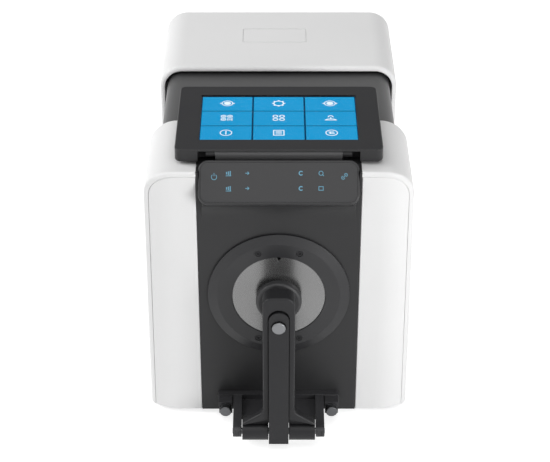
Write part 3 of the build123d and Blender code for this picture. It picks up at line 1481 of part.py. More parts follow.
# Plunger: steel rod with its button, collar and ball; the pad swivels on the ball
ball_depth = pad_face_depth - ball_setback_depth
pad_back = pad_face_depth - pad_thickness
neck_end = pad_back - pad_neck_length
collar_depth = guide_back - plunger_room_wall - slide_gap
collar_start = collar_depth - plunger_collar_thickness
with BuildPart() as plunger:
    rod_along((button_front_depth, channel_floor - slide_gap), 0, port_height, button_radius)
    chamfer(plunger.faces().sort_by(Axis.Y)[0].edges(), button_edge_length)
    rod_along((channel_floor - over_cut, ball_depth), 0, port_height, plunger_radius)
    rod_along((collar_start, collar_depth), 0, port_height, plunger_collar_radius)
    add(ball(ball_depth, port_height, ball_radius))
keep(plunger, "plunger")

with BuildPart() as plunger_spring:
    spring_depths = (plunger_room[0] + run_gap, collar_start - run_gap)
    rod_along(spring_depths, 0, port_height, plunger_spring_radius)
    spring_cut = (plunger_room[0] - over_cut, collar_start + over_cut)
    rod_along(spring_cut, 0, port_height, plunger_radius + spring_bore_gap, Mode.SUBTRACT)
keep(plunger_spring, "plunger_spring")

with BuildPart() as sample_pad:
    pad_section = [
        (0, pad_face_depth),
        (pad_radius, pad_face_depth),
        (pad_radius, pad_back),
        (pad_neck_radius, pad_back),
        (pad_neck_radius, neck_end),
        (pad_bore_radius, neck_end),
        (pad_bore_radius, ball_depth),
        (0, ball_depth),
    ]
    add(turned(pad_section, port_height))
    pad_rims = sample_pad.edges().filter_by(GeomType.CIRCLE).group_by(lambda e: round(e.radius, 2))[-1]
    fillet(pad_rims.sort_by(Axis.Y)[-1], pad_front_edge_radius)
    pad_rims = sample_pad.edges().filter_by(GeomType.CIRCLE).group_by(lambda e: round(e.radius, 2))[-1]
    fillet(pad_rims.sort_by(Axis.Y)[0], pad_back_edge_radius)
    add(ball(ball_depth, port_height, ball_radius + turn_gap), mode=Mode.SUBTRACT)
keep(sample_pad, "sample_pad")

# Thumbscrews with knurled heads
head_back = lug_front - thumbscrew_gap
head_front = head_back - thumbscrew_length
for screw_x, screw_name in zip(screw_places, ("thumbscrew_left", "thumbscrew_right")):
    with BuildPart() as thumbscrew:
        rod_along((head_front, head_back), screw_x, thumbscrew_height, thumbscrew_radius)
        chamfer(thumbscrew.edges().filter_by(GeomType.CIRCLE), thumbscrew_edge_length)
        shank_depths = (head_back - over_cut, plate_back - over_cut)
        rod_along(shank_depths, screw_x, thumbscrew_height, thumbscrew_shank_radius)
        with BuildSketch(mode=Mode.PRIVATE) as knurls:
            with Locations((screw_x, bottom + thumbscrew_height)):
                with PolarLocations(thumbscrew_radius + knurl_offset, knurl_count):
                    Circle(knurl_radius)
        add(slab(knurls.sketch, head_front - over_cut, head_back - over_cut), mode=Mode.SUBTRACT)
    keep(thumbscrew, screw_name)

# Screws of the back panel
with BuildPart() as cover_screws:
    for boss_x, boss_z, boss_x_limits, boss_z_limits in bosses:
        screw_end = panel_end + cover_screw_head_height
        head_radius = 2 * cover_screw_radius + cover_screw_head_width
        rod_along((boss_start + over_cut, panel_end), boss_x, boss_z, cover_screw_radius)
        rod_along((panel_end, screw_end), boss_x, boss_z, head_radius)
        with BuildSketch(mode=Mode.PRIVATE) as socket:
            with Locations((boss_x, bottom + boss_z)):
                RegularPolygon(cover_screw_radius, 6)
        socket_depths = (panel_end + cover_screw_head_height / 2, screw_end + over_cut)
        add(slab(socket.sketch, *socket_depths), mode=Mode.SUBTRACT)
keep(cover_screws, "cover_screws")
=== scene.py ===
"""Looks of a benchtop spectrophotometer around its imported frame, with studio and camera.

A value whose name ends in mm is in millimetres, and so are the places and sizes in drawings.
Other lengths are in metres. X runs across, Y to the back and Z up.
"""

import logging
import math
from dataclasses import dataclass, field
from enum import Enum
from typing import Any, ClassVar

import bmesh
import bpy
from mathutils import Matrix, Vector


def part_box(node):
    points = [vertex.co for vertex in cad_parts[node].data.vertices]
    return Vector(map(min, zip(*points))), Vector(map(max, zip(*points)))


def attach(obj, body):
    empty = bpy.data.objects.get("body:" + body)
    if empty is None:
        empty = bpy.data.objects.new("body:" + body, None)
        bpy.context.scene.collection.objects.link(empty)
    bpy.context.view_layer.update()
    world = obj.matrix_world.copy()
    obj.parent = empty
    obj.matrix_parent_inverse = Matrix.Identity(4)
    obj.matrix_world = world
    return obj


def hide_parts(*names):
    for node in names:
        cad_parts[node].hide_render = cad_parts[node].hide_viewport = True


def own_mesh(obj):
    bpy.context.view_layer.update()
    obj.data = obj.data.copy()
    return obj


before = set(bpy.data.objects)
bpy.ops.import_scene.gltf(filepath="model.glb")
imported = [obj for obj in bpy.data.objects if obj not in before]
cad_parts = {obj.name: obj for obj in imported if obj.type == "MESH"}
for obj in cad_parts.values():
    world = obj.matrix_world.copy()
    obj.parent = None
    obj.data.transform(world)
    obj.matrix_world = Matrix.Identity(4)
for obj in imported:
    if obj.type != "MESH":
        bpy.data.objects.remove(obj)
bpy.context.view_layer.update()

logging.basicConfig(level=logging.INFO, format="%(message)s")
LOG = logging.getLogger("spectrophotometer")

MM = 0.001
FULL_TURN_DEG = 360.0
# A wave texture repeats after this length at scale one
WAVE_PERIOD = math.pi / 10
# The sRGB curve is straight up to its knee and a power from there on
SRGB_KNEE = 0.04045
SRGB_SLOPE = 12.92
SRGB_OFFSET = 0.055
SRGB_POWER = 2.4
# The screen's middle along Y
SCREEN_MIDDLE_MM = -65.65

Colour = tuple[float, float, float, float]
Point = tuple[float, float, float]
Spot = tuple[float, float]
Tree = bpy.types.NodeTree
Socket = bpy.types.NodeSocket
Settings = dict[str | int, Any]
Links = dict[str | int, Socket]


class Body(Enum):
    """Moving bodies that dressed pieces ride on."""

    INSTRUMENT = "instrument"
    DISPLAY = "display"
    ARM = "arm"


class Detail(Enum):
    """How a surface's fine relief runs, as a stretch of its pattern along X, Y and Z."""

    GRAINED = (1.0, 1.0, 1.0)
    BRUSHED_ACROSS = (0.03, 1.0, 1.0)
    TURNED = (0.06, 1.0, 0.06)


def linear(hex_colour: str) -> Colour:
    """Turns an sRGB hex colour to linear.

    Args:
        hex_colour: Six hex digits after a hash.

    Returns:
        The linear colour with full alpha.
    """
    digits = hex_colour.lstrip("#")
    parts = [int(digits[i : i + 2], 16) / 255 for i in (0, 2, 4)]
    turned = [
        p / SRGB_SLOPE if p <= SRGB_KNEE else ((p + SRGB_OFFSET) / (1 + SRGB_OFFSET)) ** SRGB_POWER
        for p in parts
    ]
    return (*turned, 1.0)


WHITE = linear("#FFFFFF")


def add_node(
    tree: Tree, kind: str, settings: Settings | None = None, links: Links | None = None
) -> bpy.types.Node:
    """Adds a node, sets it and links its inputs.

    Args:
        tree: The tree that takes the node.
        kind: The node's type name.
        settings: Values by the name or number of an input, or by the name of a property.
        links: Sockets by the name or number of the input that they feed.

    Returns:
        The new node.
    """
    node = tree.nodes.new(kind)
    for name, value in (settings or {}).items():
        if isinstance(name, int) or name in node.inputs:
            node.inputs[name].default_value = value
        else:
            setattr(node, name, value)
    for name, source in (links or {}).items():
        tree.links.new(source, node.inputs[name])
    return node


@dataclass(frozen=True)
class Finish:
    """A surface finish: a shader with fine relief, slight unevenness and softened edges."""

    name: str
    colour: str
    second: str
    roughness: float
    metallic: float = 0.0
    coat: float = 0.0
    specular: float = 0.5
    grain_mm: float = 1.0
    grain_depth_mm: float = 0.01
    patch_mm: float = 40.0
    swing: float = 0.05
    detail: Detail = Detail.GRAINED
    edge_mm: float = 0.3
    noise_detail: ClassVar[float] = 3.0
    noise_fade: ClassVar[float] = 0.55
    noise_low: ClassVar[float] = 0.3
    noise_high: ClassVar[float] = 0.7
    edge_samples: ClassVar[int] = 4
    coat_roughness: ClassVar[float] = 0.1

    def texture(self, tree: Tree, place: Socket, size_mm: float) -> Socket:
        """Adds a noise whose grains have a size.

        Args:
            tree: The material's tree.
            place: Object coordinates.
            size_mm: Size of the grains.

        Returns:
            The noise's value.
        """
        settings = {
            "Scale": 1 / (size_mm * MM),
            "Detail": self.noise_detail,
            "Roughness": self.noise_fade,
        }
        return add_node(tree, "ShaderNodeTexNoise", settings, {"Vector": place}).outputs["Fac"]

    def spread(self, tree: Tree, value: Socket, low: float, high: float) -> Socket:
        """Stretches a noise's middle range to lie between two levels.

        Args:
            tree: The material's tree.
            value: The noise's value.
            low: The level for the range's low end.
            high: The level for its high end.

        Returns:
            The stretched value.
        """
        limits = {
            "From Min": self.noise_low,
            "From Max": self.noise_high,
            "To Min": low,
            "To Max": high,
        }
        return add_node(tree, "ShaderNodeMapRange", limits, {"Value": value}).outputs[0]

    def relief(self, tree: Tree, height: Socket, depth_mm: float) -> Socket:
        """Turns a height into a bumped normal on softened edges.

        Args:
            tree: The material's tree.
            height: The height, from 0 to 1.
            depth_mm: The relief's depth.

        Returns:
            The normal.
        """
        softness = {"samples": self.edge_samples, "Radius": self.edge_mm * MM}
        soft = add_node(tree, "ShaderNodeBevel", softness)
        links = {"Height": height, "Normal": soft.outputs[0]}
        return add_node(tree, "ShaderNodeBump", {"Distance": depth_mm * MM}, links).outputs[0]

    def tint(self, tree: Tree, place: Socket) -> Socket:
        """Mixes the two colours in soft patches.

        Args:
            tree: The material's tree.
            place: Object coordinates.

        Returns:
            The colour.
        """
        share = self.spread(tree, self.texture(tree, place, self.patch_mm), 0.0, 1.0)
        mix = add_node(tree, "ShaderNodeMix", {"data_type": "RGBA"}, {"Factor": share})
        mix.inputs[6].default_value = linear(self.second)
        mix.inputs[7].default_value = linear(self.colour)
        return mix.outputs[2]

    def shader(self, tree: Tree, place: Socket) -> Socket:
        """Builds the shader.

        Args:
            tree: The material's tree.
            place: Object coordinates.

        Returns:
            The shader's output.
        """
        run = add_node(tree, "ShaderNodeMapping", {"Scale": self.detail.value}, {"Vector": place})
        grain = self.texture(tree, run.outputs[0], self.grain_mm)
        smooth, rough = self.roughness - self.swing, self.roughness + self.swing
        links = {
            "Base Color": self.tint(tree, place),
            "Roughness": self.spread(tree, grain, smooth, rough),
            "Normal": self.relief(tree, grain, self.grain_depth_mm),
        }
        settings = {
            "Metallic": self.metallic,
            "Specular IOR Level": self.specular,
            "Coat Weight": self.coat,
            "Coat Roughness": self.coat_roughness,
        }
        return add_node(tree, "ShaderNodeBsdfPrincipled", settings, links).outputs[0]

    def build(self) -> bpy.types.Material:
        """Makes the material once and hands out the same one from then on.

        Returns:
            The material.
        """
        known = bpy.data.materials.get(self.name)
        if known:
            return known
        material = bpy.data.materials.new(self.name)
        material.use_nodes = True
        tree = material.node_tree
        tree.nodes.clear()
        place = add_node(tree, "ShaderNodeTexCoord").outputs["Object"]
        add_node(tree, "ShaderNodeOutputMaterial", {}, {"Surface": self.shader(tree, place)})
        return material


@dataclass(frozen=True)
class LitPicture(Finish):
    """A part of a lit picture: dark by itself, and glowing in its colour."""

    glow: float = 1.0
    base: str = "#060708"

    def shader(self, tree: Tree, place: Socket) -> Socket:
        """Builds the glowing shader with the backlight's slight unevenness.

        Args:
            tree: The material's tree.
            place: Object coordinates.

        Returns:
            The shader's output.
        """
        links = {"Emission Color": self.tint(tree, place)}
        settings = {
            "Base Color": linear(self.base),
            "Roughness": self.roughness,
            "Specular IOR Level": self.specular,
            "Emission Strength": self.glow,
        }
        return add_node(tree, "ShaderNodeBsdfPrincipled", settings, links).outputs[0]


@dataclass(frozen=True)
class BoardLaminate(Finish):
    """Circuit board: glass-fibre laminate with lacquer over copper tracks."""

    copper: str = "#2F7D3C"
    pitch_mm: float = 2.54
    track_share: float = 0.1
    run_pitches: float = 4.0

    def tint(self, tree: Tree, place: Socket) -> Socket:
        """Draws the tracks as bands on the board's grid.

        Args:
            tree: The material's tree.
            place: Object coordinates.

        Returns:
            The colour.
        """
        settings = {
            "Scale": 1 / (self.pitch_mm * MM),
            "Mortar Size": self.track_share,
            "Color1": linear(self.colour),
            "Color2": linear(self.second),
            "Mortar": linear(self.copper),
            "Brick Width": self.run_pitches,
            "Row Height": 1.0,
        }
        return add_node(tree, "ShaderNodeTexBrick", settings, {"Vector": place}).outputs["Color"]


@dataclass(frozen=True)
class ClearGlass(Finish):
    """Polished clear glass."""

    ior: float = 1.5

    def shader(self, tree: Tree, place: Socket) -> Socket:
        """Builds the glass shader with a faint unevenness.

        Args:
            tree: The material's tree.
            place: Object coordinates.

        Returns:
            The shader's output.
        """
        links = {"Base Color": self.tint(tree, place)}
        settings = {"Roughness": self.roughness, "Transmission Weight": 1.0, "IOR": self.ior}
        return add_node(tree, "ShaderNodeBsdfPrincipled", settings, links).outputs[0]


@dataclass(frozen=True)
class CoverGlass(Finish):
    """Cover glass: printed grey from behind, with a clear coated window over the screen.

    The window's index of refraction is low, because its coating takes most of the
    reflection away.
    """

    coated_ior: float = 1.03
    window_roughness: float = 0.03
    half_width_mm: float = 71.4
    half_length_mm: float = 43.0

    def within(self, tree: Tree, value: Socket, middle_mm: float, half_mm: float) -> Socket:
        """Tells where a coordinate is near a middle.

        Args:
            tree: The material's tree.
            value: The coordinate.
            middle_mm: The middle.
            half_mm: The greatest distance from it.

        Returns:
            One where the coordinate is near, else zero.
        """
        step = {"operation": "SUBTRACT", 1: middle_mm * MM}
        off = add_node(tree, "ShaderNodeMath", step, {0: value}).outputs[0]
        size = add_node(tree, "ShaderNodeMath", {"operation": "ABSOLUTE"}, {0: off}).outputs[0]
        test = {"operation": "LESS_THAN", 1: half_mm * MM}
        return add_node(tree, "ShaderNodeMath", test, {0: size}).outputs[0]

    def shader(self, tree: Tree, place: Socket) -> Socket:
        """Builds the printed border and the clear window.

        Args:
            tree: The material's tree.
            place: Object coordinates.

        Returns:
            The shader's output.
        """
        printed = super().shader(tree, place)
        settings = {
            "Base Color": WHITE,
            "Roughness": self.window_roughness,
            "Transmission Weight": 1.0,
            "IOR": self.coated_ior,
        }
        clear = add_node(tree, "ShaderNodeBsdfPrincipled", settings).outputs[0]
        axes = add_node(tree, "ShaderNodeSeparateXYZ", {}, {0: place}).outputs
        tests = {
            0: self.within(tree, axes[0], 0.0, self.half_width_mm),
            1: self.within(tree, axes[1], SCREEN_MIDDLE_MM, self.half_length_mm),
        }
        inside = add_node(tree, "ShaderNodeMath", {"operation": "MULTIPLY"}, tests).outputs[0]
        links = {0: inside, 1: printed, 2: clear}
        return add_node(tree, "ShaderNodeMixShader", {}, links).outputs[0]


@dataclass(frozen=True)
class Ruled(Finish):
    """A surface with even lines across X: a grating's ruling or a spring's wound wire."""

    line_mm: float = 0.4
    line_depth_mm: float = 0.02

    def relief(self, tree: Tree, height: Socket, depth_mm: float) -> Socket:
        """Lays the lines under the fine relief.

        Args:
            tree: The material's tree.
            height: The fine relief's height, from 0 to 1.
            depth_mm: The fine relief's depth.

        Returns:
            The normal.
        """
        place = add_node(tree, "ShaderNodeTexCoord").outputs["Object"]
        settings = {"bands_direction": "X", "Scale": WAVE_PERIOD / (self.line_mm * MM)}
        lines = add_node(tree, "ShaderNodeTexWave", settings, {"Vector": place}).outputs["Fac"]
        line_depth = {"Distance": self.line_depth_mm * MM}
        ruling = add_node(tree, "ShaderNodeBump", line_depth, {"Height": lines}).outputs[0]
        links = {"Height": height, "Normal": ruling}
        return add_node(tree, "ShaderNodeBump", {"Distance": depth_mm * MM}, links).outputs[0]


# Moulded ABS, pigmented white, from a polished tool
WHITE_ABS = Finish(
    "white_abs", "#F0F0F0", "#EEEEEE", 0.4,
    specular=0.3, grain_mm=1.5, grain_depth_mm=0.001, patch_mm=90, edge_mm=0.6,
)
# Moulded ABS, pigmented charcoal, from a spark-eroded tool
CHARCOAL_ABS = Finish(
    "charcoal_abs", "#303031", "#2E2E2F", 0.42,
    specular=0.25, grain_mm=0.8, grain_depth_mm=0.01, edge_mm=0.6,
)
# The same moulding grade, slightly lighter and glossier, for the sliding arch
COVER_ABS = Finish(
    "cover_charcoal_abs", "#333334", "#303031", 0.4,
    grain_mm=0.8, grain_depth_mm=0.01, edge_mm=0.6,
)
# Moulded ABS, pigmented dark grey, from a finer tool
BAR_ABS = Finish(
    "hinge_bar_abs", "#4A4A4B", "#484849", 0.36,
    grain_mm=0.8, grain_depth_mm=0.006, edge_mm=0.4,
)
KEY_ABS = Finish(
    "key_housing_abs", "#353536", "#333334", 0.4,
    specular=0.3, grain_mm=0.8, grain_depth_mm=0.008, edge_mm=0.5,
)
DISPLAY_ABS = Finish(
    "display_case_abs", "#2F2F30", "#2D2D2E", 0.4,
    specular=0.25, grain_mm=0.8, grain_depth_mm=0.008, edge_mm=0.5,
)
# Moulded ABS, black
BLACK_ABS = Finish("black_abs", "#1C1C1D", "#181819", 0.4, grain_mm=0.8)
# Hard-coated polyester sheet, glued down
TOUCH_SHEET = Finish(
    "touch_sheet", "#404041", "#3E3E3F", 0.34,
    specular=0.25, grain_mm=0.6, grain_depth_mm=0.002, edge_mm=0.2,
)
# Etched glass, screen-printed from behind
COVER_GLASS = CoverGlass(
    "etched_cover_glass", "#3A3A3B", "#38383A", 0.5,
    specular=0.03, grain_mm=0.5, grain_depth_mm=0.001,
)
# Cast aluminium with a baked powder coat: slight orange peel
DARK_COAT = Finish(
    "dark_powder_coat", "#242426", "#222224", 0.4,
    specular=0.25, grain_mm=0.9, grain_depth_mm=0.02, edge_mm=0.7,
)
# Same coat as the arm's, painted lighter: painted light that lifts the deep shade on the bracket's
# web
BRACKET_COAT = Finish(
    "bracket_powder_coat", "#363638", "#343436", 0.45,
    specular=0.35, grain_mm=0.9, grain_depth_mm=0.02, edge_mm=0.5,
)
# Turned aluminium with a sprayed satin coat
RING_COAT = Finish(
    "ring_satin_coat", "#28282A", "#262628", 0.36,
    specular=0.38, grain_mm=0.7, grain_depth_mm=0.004, edge_mm=0.4,
)
# Folded sheet with a light grey powder coat
GREY_COAT = Finish(
    "grey_powder_coat", "#8E9092", "#888A8C", 0.5,
    grain_mm=0.9, grain_depth_mm=0.03, edge_mm=0.4,
)
# Lapped and anodised aluminium disc with a satin sheen
TARGET_GREY = Finish(
    "satin_target_plate", "#7F7F7F", "#7B7B7B", 0.27,
    metallic=0.75, grain_mm=0.8, grain_depth_mm=0.0004, swing=0.02,
)
# Moulded silicone rubber: dull, with a fine bloom
SOFT_RUBBER = Finish(
    "soft_black_rubber", "#262628", "#222224", 0.5,
    grain_mm=0.9, grain_depth_mm=0.02, edge_mm=0.8,
)
# Moulded rubber, fully matt
FOOT_RUBBER = Finish(
    "foot_rubber", "#1E1E1F", "#1A1A1B", 0.75,
    grain_mm=1.0, grain_depth_mm=0.03, edge_mm=0.6,
)
# Turned stainless steel: fine rings from the lathe
TURNED_STEEL = Finish(
    "turned_steel", "#7C7D7F", "#757678", 0.36,
    metallic=1.0, grain_mm=0.25, grain_depth_mm=0.004, detail=Detail.TURNED,
)
# Turned steel, dark nickel-plated
NICKEL_STEEL = Finish(
    "dark_nickel_steel", "#606163", "#5A5B5D", 0.38,
    metallic=1.0, grain_mm=0.25, grain_depth_mm=0.004, detail=Detail.TURNED,
)
# Zinc-plated steel
PLATED_STEEL = Finish(
    "plated_steel", "#A4A5A4", "#979897", 0.35,
    metallic=1.0, grain_mm=0.5, grain_depth_mm=0.004,
)
# Drawn spring wire: by itself, and wound to an even pitch on a spring that is a plain tube
SPRING_WIRE = Finish(
    "drawn_spring_wire", "#9B9C9D", "#8E8F90", 0.3,
    metallic=1.0, grain_mm=0.3, grain_depth_mm=0.004,
)
WOUND_WIRE = Ruled(
    "arm_spring_wire", "#9B9C9D", "#8E8F90", 0.3,
    metallic=1.0, line_mm=1.6, line_depth_mm=0.7,
)
# Die-cast aluminium, machined on its faces
CAST_ALUMINIUM = Finish(
    "cast_aluminium", "#A9ABAD", "#989A9C", 0.45,
    metallic=1.0, grain_mm=0.7, patch_mm=15,
)
# Rolled aluminium sheet with a brushed run across
BRUSHED_SHEET = Finish(
    "brushed_aluminium", "#B8BABC", "#AEB0B2", 0.38,
    metallic=1.0, grain_mm=0.35, grain_depth_mm=0.006, detail=Detail.BRUSHED_ACROSS,
)
# Machined aluminium, anodised black
BLACK_ANODISED = Finish(
    "black_anodised", "#232325", "#1E1E20", 0.4,
    metallic=0.6, grain_mm=0.5, grain_depth_mm=0.006,
)
# Sprayed white reflectance coat, fully matt
SPHERE_WHITE = Finish(
    "sphere_white_coat", "#F2F2EE", "#EEEEEA", 0.9, grain_mm=0.6, grain_depth_mm=0.02
)
# Etched and lacquered laminate
BOARD = BoardLaminate(
    "board_laminate", "#17502A", "#144824", 0.3, coat=0.4, grain_depth_mm=0.005
)
# Ground and polished glass
CLEAR_GLASS = ClearGlass("clear_glass", "#F8FCFC", "#F2F8F8", 0.02)
# Aluminised replica grating; the real ruling is too fine to show, so it is drawn coarser
GRATING = Ruled(
    "ruled_mirror", "#D5D8DC", "#CDD0D4", 0.1, metallic=1.0, swing=0.02, line_mm=0.5
)
# Lit pictures of the screen and of the touch keys
TILE_BLUE = LitPicture(
    "screen_tile_blue", "#229CD5", "#1F98D0", 0.3, specular=0.0, patch_mm=60
)
GROUND_BLUE = LitPicture(
    "screen_ground_blue", "#0A3A5E", "#093657", 0.3, specular=0.0, patch_mm=60
)
SIGN_WHITE = LitPicture(
    "screen_sign_white", "#F0FAFF", "#E6F4FC", 0.3, specular=0.0, patch_mm=60
)
KEY_BLUE = LitPicture(
    "key_sign_blue", "#86C6E2", "#80C0DC", 0.35, specular=0.1, patch_mm=30, glow=0.7
)


@dataclass
class FlatMarks:
    """Small flat shapes drawn on a sheet, then raised a little."""

    rise_mm: float = 0.05
    shape: bmesh.types.BMesh = field(default_factory=bmesh.new)
    corner_segments: ClassVar[int] = 4
    round_profile: ClassVar[float] = 0.5
    least_radius_mm: ClassVar[float] = 0.02
    least_steps: ClassVar[int] = 6
    step_deg: ClassVar[float] = 12.0

    def stamp(self, mark: bmesh.types.BMesh, x: float, y: float, turn_deg: float = 0.0) -> None:
        """Moves a mark to its place and adds it to the sheet.

        Args:
            mark: The mark, drawn about the origin in metres; it is freed.
            x: Its place across.
            y: Its place up the sheet.
            turn_deg: Its turn about its own middle.
        """
        turn = Matrix.Rotation(math.radians(turn_deg), 4, "Z")
        place = Matrix.Translation((x * MM, y * MM, 0)) @ turn
        bmesh.ops.transform(mark, matrix=place, verts=mark.verts)
        carrier = bpy.data.meshes.new("carrier")
        mark.to_mesh(carrier)
        mark.free()
        self.shape.from_mesh(carrier)
        bpy.data.meshes.remove(carrier)

    def plate(
        self, x: float, y: float, width: float, height: float, corner: float = 0.0, turn: float = 0.0
    ) -> None:
        """Adds a rectangle.

        Args:
            x: Its middle across.
            y: Its middle up the sheet.
            width: Its size across.
            height: Its size up the sheet.
            corner: The radius of its corners; they are sharp at zero.
            turn: Its turn about its own middle in degrees.
        """
        mark = bmesh.new()
        bmesh.ops.create_grid(mark, x_segments=1, y_segments=1, size=0.5)
        bmesh.ops.scale(mark, vec=(width * MM, height * MM, 1), verts=mark.verts)
        if corner:
            bmesh.ops.bevel(
                mark,
                geom=mark.verts,
                offset=corner * MM,
                segments=self.corner_segments,
                profile=self.round_profile,
                affect="VERTICES",
                material=-1,
            )
        self.stamp(mark, x, y, turn)

    def ring(
        self,
        x: float,
        y: float,
        radius: float,
        width: float,
        start: float = 0.0,
        sweep: float = FULL_TURN_DEG,
    ) -> None:
        """Adds a flat ring or a part of one.

        Args:
            x: Its middle across.
            y: Its middle up the sheet.
            radius: Its outer radius.
            width: Its width inward.
            start: The angle where the part starts, in degrees from the right.
            sweep: The angle that the part covers, in degrees.
        """
        mark = bmesh.new()
        inner = max(radius - width, self.least_radius_mm)
        ends = [mark.verts.new((r * MM, 0, 0)) for r in (inner, radius)]
        edge = mark.edges.new(ends)
        bmesh.ops.rotate(mark, verts=ends, matrix=Matrix.Rotation(math.radians(start), 3, "Z"))
        bmesh.ops.spin(
            mark,
            geom=[edge, *ends],
            cent=(0, 0, 0),
            axis=(0, 0, 1),
            angle=math.radians(sweep),
            steps=max(self.least_steps, round(sweep / self.step_deg)),
            use_merge=sweep >= FULL_TURN_DEG,
        )
        self.stamp(mark, x, y)

    def piece(self, name: str, sheet: Matrix, finish: Finish, body: Body) -> None:
        """Raises the marks, lays them on their sheet and makes them a piece.

        Args:
            name: The piece's name.
            sheet: Matrix from the drawing to the frame.
            finish: The finish of the marks.
            body: The body they ride on.
        """
        bmesh.ops.recalc_face_normals(self.shape, faces=self.shape.faces)
        grown = bmesh.ops.extrude_face_region(self.shape, geom=self.shape.faces)
        tops = [item for item in grown["geom"] if isinstance(item, bmesh.types.BMVert)]
        bmesh.ops.translate(self.shape, verts=tops, vec=(0, 0, self.rise_mm * MM))
        bmesh.ops.transform(self.shape, matrix=sheet, verts=self.shape.verts)
        bmesh.ops.recalc_face_normals(self.shape, faces=self.shape.faces)
        mesh = bpy.data.meshes.new(name)
        self.shape.to_mesh(mesh)
        self.shape.free()
        mesh.materials.append(finish.build())
        made = bpy.data.objects.new(name, mesh)
        bpy.context.scene.collection.objects.link(made)
        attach(made, body.value)
        LOG.info("%s: %d faces on %s", name, len(mesh.polygons), body.value)


@dataclass(frozen=True)
class Sign:
    """A plain sign that is drawn on a sheet of marks about its own middle."""

    marks: FlatMarks
    x: float
    y: float

    def ring(self, across: float, up: float, *form: float) -> None:
        """Adds a ring of a form, at a step from the middle."""
        self.marks.ring(self.x + across, self.y + up, *form)

    def plate(self, across: float, up: float, *size: float, turn: float = 0.0) -> None:
        """Adds a rectangle of a size, at a step from the middle."""
        self.marks.plate(self.x + across, self.y + up, *size, turn=turn)


@dataclass(frozen=True)
class KeySign(Sign):
    """A touch key's sign, in thin strokes."""

    stroke: float

    def power(self) -> None:
        """Draws an open ring with a stroke in its gap."""
        self.ring(0, 0, 2.6, self.stroke, 125, 290)
        self.plate(0, 2.2, self.stroke, 2.6)

    def bars(self) -> None:
        """Draws three rising bars over a base line."""
        for bar in (-1, 0, 1):
            self.plate(1.6 * bar, 0, 0.9, 3.1 + 0.9 * bar)
        self.plate(0, -2.3, 4.8, self.stroke)

    def arrow(self) -> None:
        """Draws an arrow to the right."""
        self.plate(0, 0, 3.0, self.stroke)
        for side in (-1, 1):
            self.plate(1.1, side * 0.65, 1.9, self.stroke, turn=-45 * side)

    def crescent(self) -> None:
        """Draws a thick ring that is open to the right."""
        self.ring(0, 0, 2.1, 0.9, 40, 280)

    def lens(self) -> None:
        """Draws a ring with a handle."""
        self.ring(0, 0, 2.1, self.stroke)
        self.plate(1.9, -1.8, 1.7, self.stroke, turn=-45)

    def box(self) -> None:
        """Draws the outline of a box."""
        for side in (-1, 1):
            self.plate(side * 1.9, 0, self.stroke, 3.4)
            self.plate(0, side * 1.6, 4.3, self.stroke)

    def link(self) -> None:
        """Draws two open rings with a bar between them."""
        self.ring(-1.2, -1.2, 1.6, self.stroke, 90, 270)
        self.ring(1.2, 1.2, 1.6, self.stroke, -90, 270)
        self.plate(0, 0, 3.6, self.stroke, turn=45)


@dataclass(frozen=True)
class TileSign(Sign):
    """A screen tile's sign."""

    def eye(self) -> None:
        """Draws a ring with a disc in it and two side points."""
        self.ring(0, 0, 5.4, 0.9)
        self.ring(0, 0, 3.2, 3.18)
        for side in (-1, 1):
            self.plate(side * 6.0, 0, 1.5, 1.5, turn=45)

    def gear(self) -> None:
        """Draws a toothed ring."""
        self.ring(0, 0, 5.0, 1.1)
        for tooth in range(8):
            angle = math.radians(45 * tooth)
            across, up = 5.4 * math.cos(angle), 5.4 * math.sin(angle)
            self.plate(across, up, 1.5, 1.5, turn=45 * tooth)

    def blocks(self) -> None:
        """Draws a pattern of small blocks."""
        for column, row in ((-1, 1), (1, 1), (-1, -1)):
            self.ring(2.9 * column, 2.9 * row, 2.6, 0.9)
            self.plate(2.9 * column, 2.9 * row, 1.6, 1.6)
        for bar in range(3):
            self.plate(1.2 + 1.8 * bar, -2.9, 0.9, 4.8 - 1.4 * (bar % 2))

    def clover(self) -> None:
        """Draws four rings in a square."""
        for column in (-1, 1):
            for row in (-1, 1):
                self.ring(3.0 * column, 3.0 * row, 2.6, 1.0)

    def lamp(self) -> None:
        """Draws a hood over a tray."""
        self.ring(0, 2.0, 2.6, 1.0, -20, 220)
        self.plate(0, -0.8, 1.0, 3.4)
        self.ring(0, -9.0, 7.6, 1.0, 50, 80)
        self.plate(0, -4.2, 11.0, 1.0)

    def dial(self) -> None:
        """Draws a ring with an upright mark."""
        self.ring(0, 0, 5.6, 0.9)
        self.plate(0, -1.0, 1.1, 4.4)
        self.ring(0, 2.6, 0.8, 0.78)

    def page(self) -> None:
        """Draws a framed page with lines."""
        for side in (-1, 1):
            self.plate(side * 4.6, 0, 1.0, 10.2)
            self.plate(0, side * 4.6, 10.2, 1.0)
        for row in (-1, 0, 1):
            self.plate(0, 2.2 * row, 5.6, 0.9)

    def list_disc(self) -> None:
        """Draws a ring with short lines in it."""
        self.ring(0, 0, 5.6, 0.9)
        for row in (-1, 0, 1):
            self.plate(-0.4 * row, 1.8 * row, 5.0, 0.8)
        self.plate(-1.2, 0, 0.8, 4.2)


@dataclass
class SubAssembly:
    """A group of the frame's nodes that do one job together."""

    finishes: ClassVar[dict[str, Finish]] = {}

    def dress(self) -> None:
        """Gives each node of the group its finish."""
        for name, finish in self.finishes.items():
            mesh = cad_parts[name].data
            mesh.materials.clear()
            mesh.materials.append(finish.build())

    def add_pieces(self) -> None:
        """Adds the group's own fine pieces; a plain group has none."""

    def build(self) -> None:
        """Dresses the group and adds its pieces."""
        self.dress()
        self.add_pieces()
        LOG.info("%s: %d nodes", type(self).__name__, len(self.finishes))


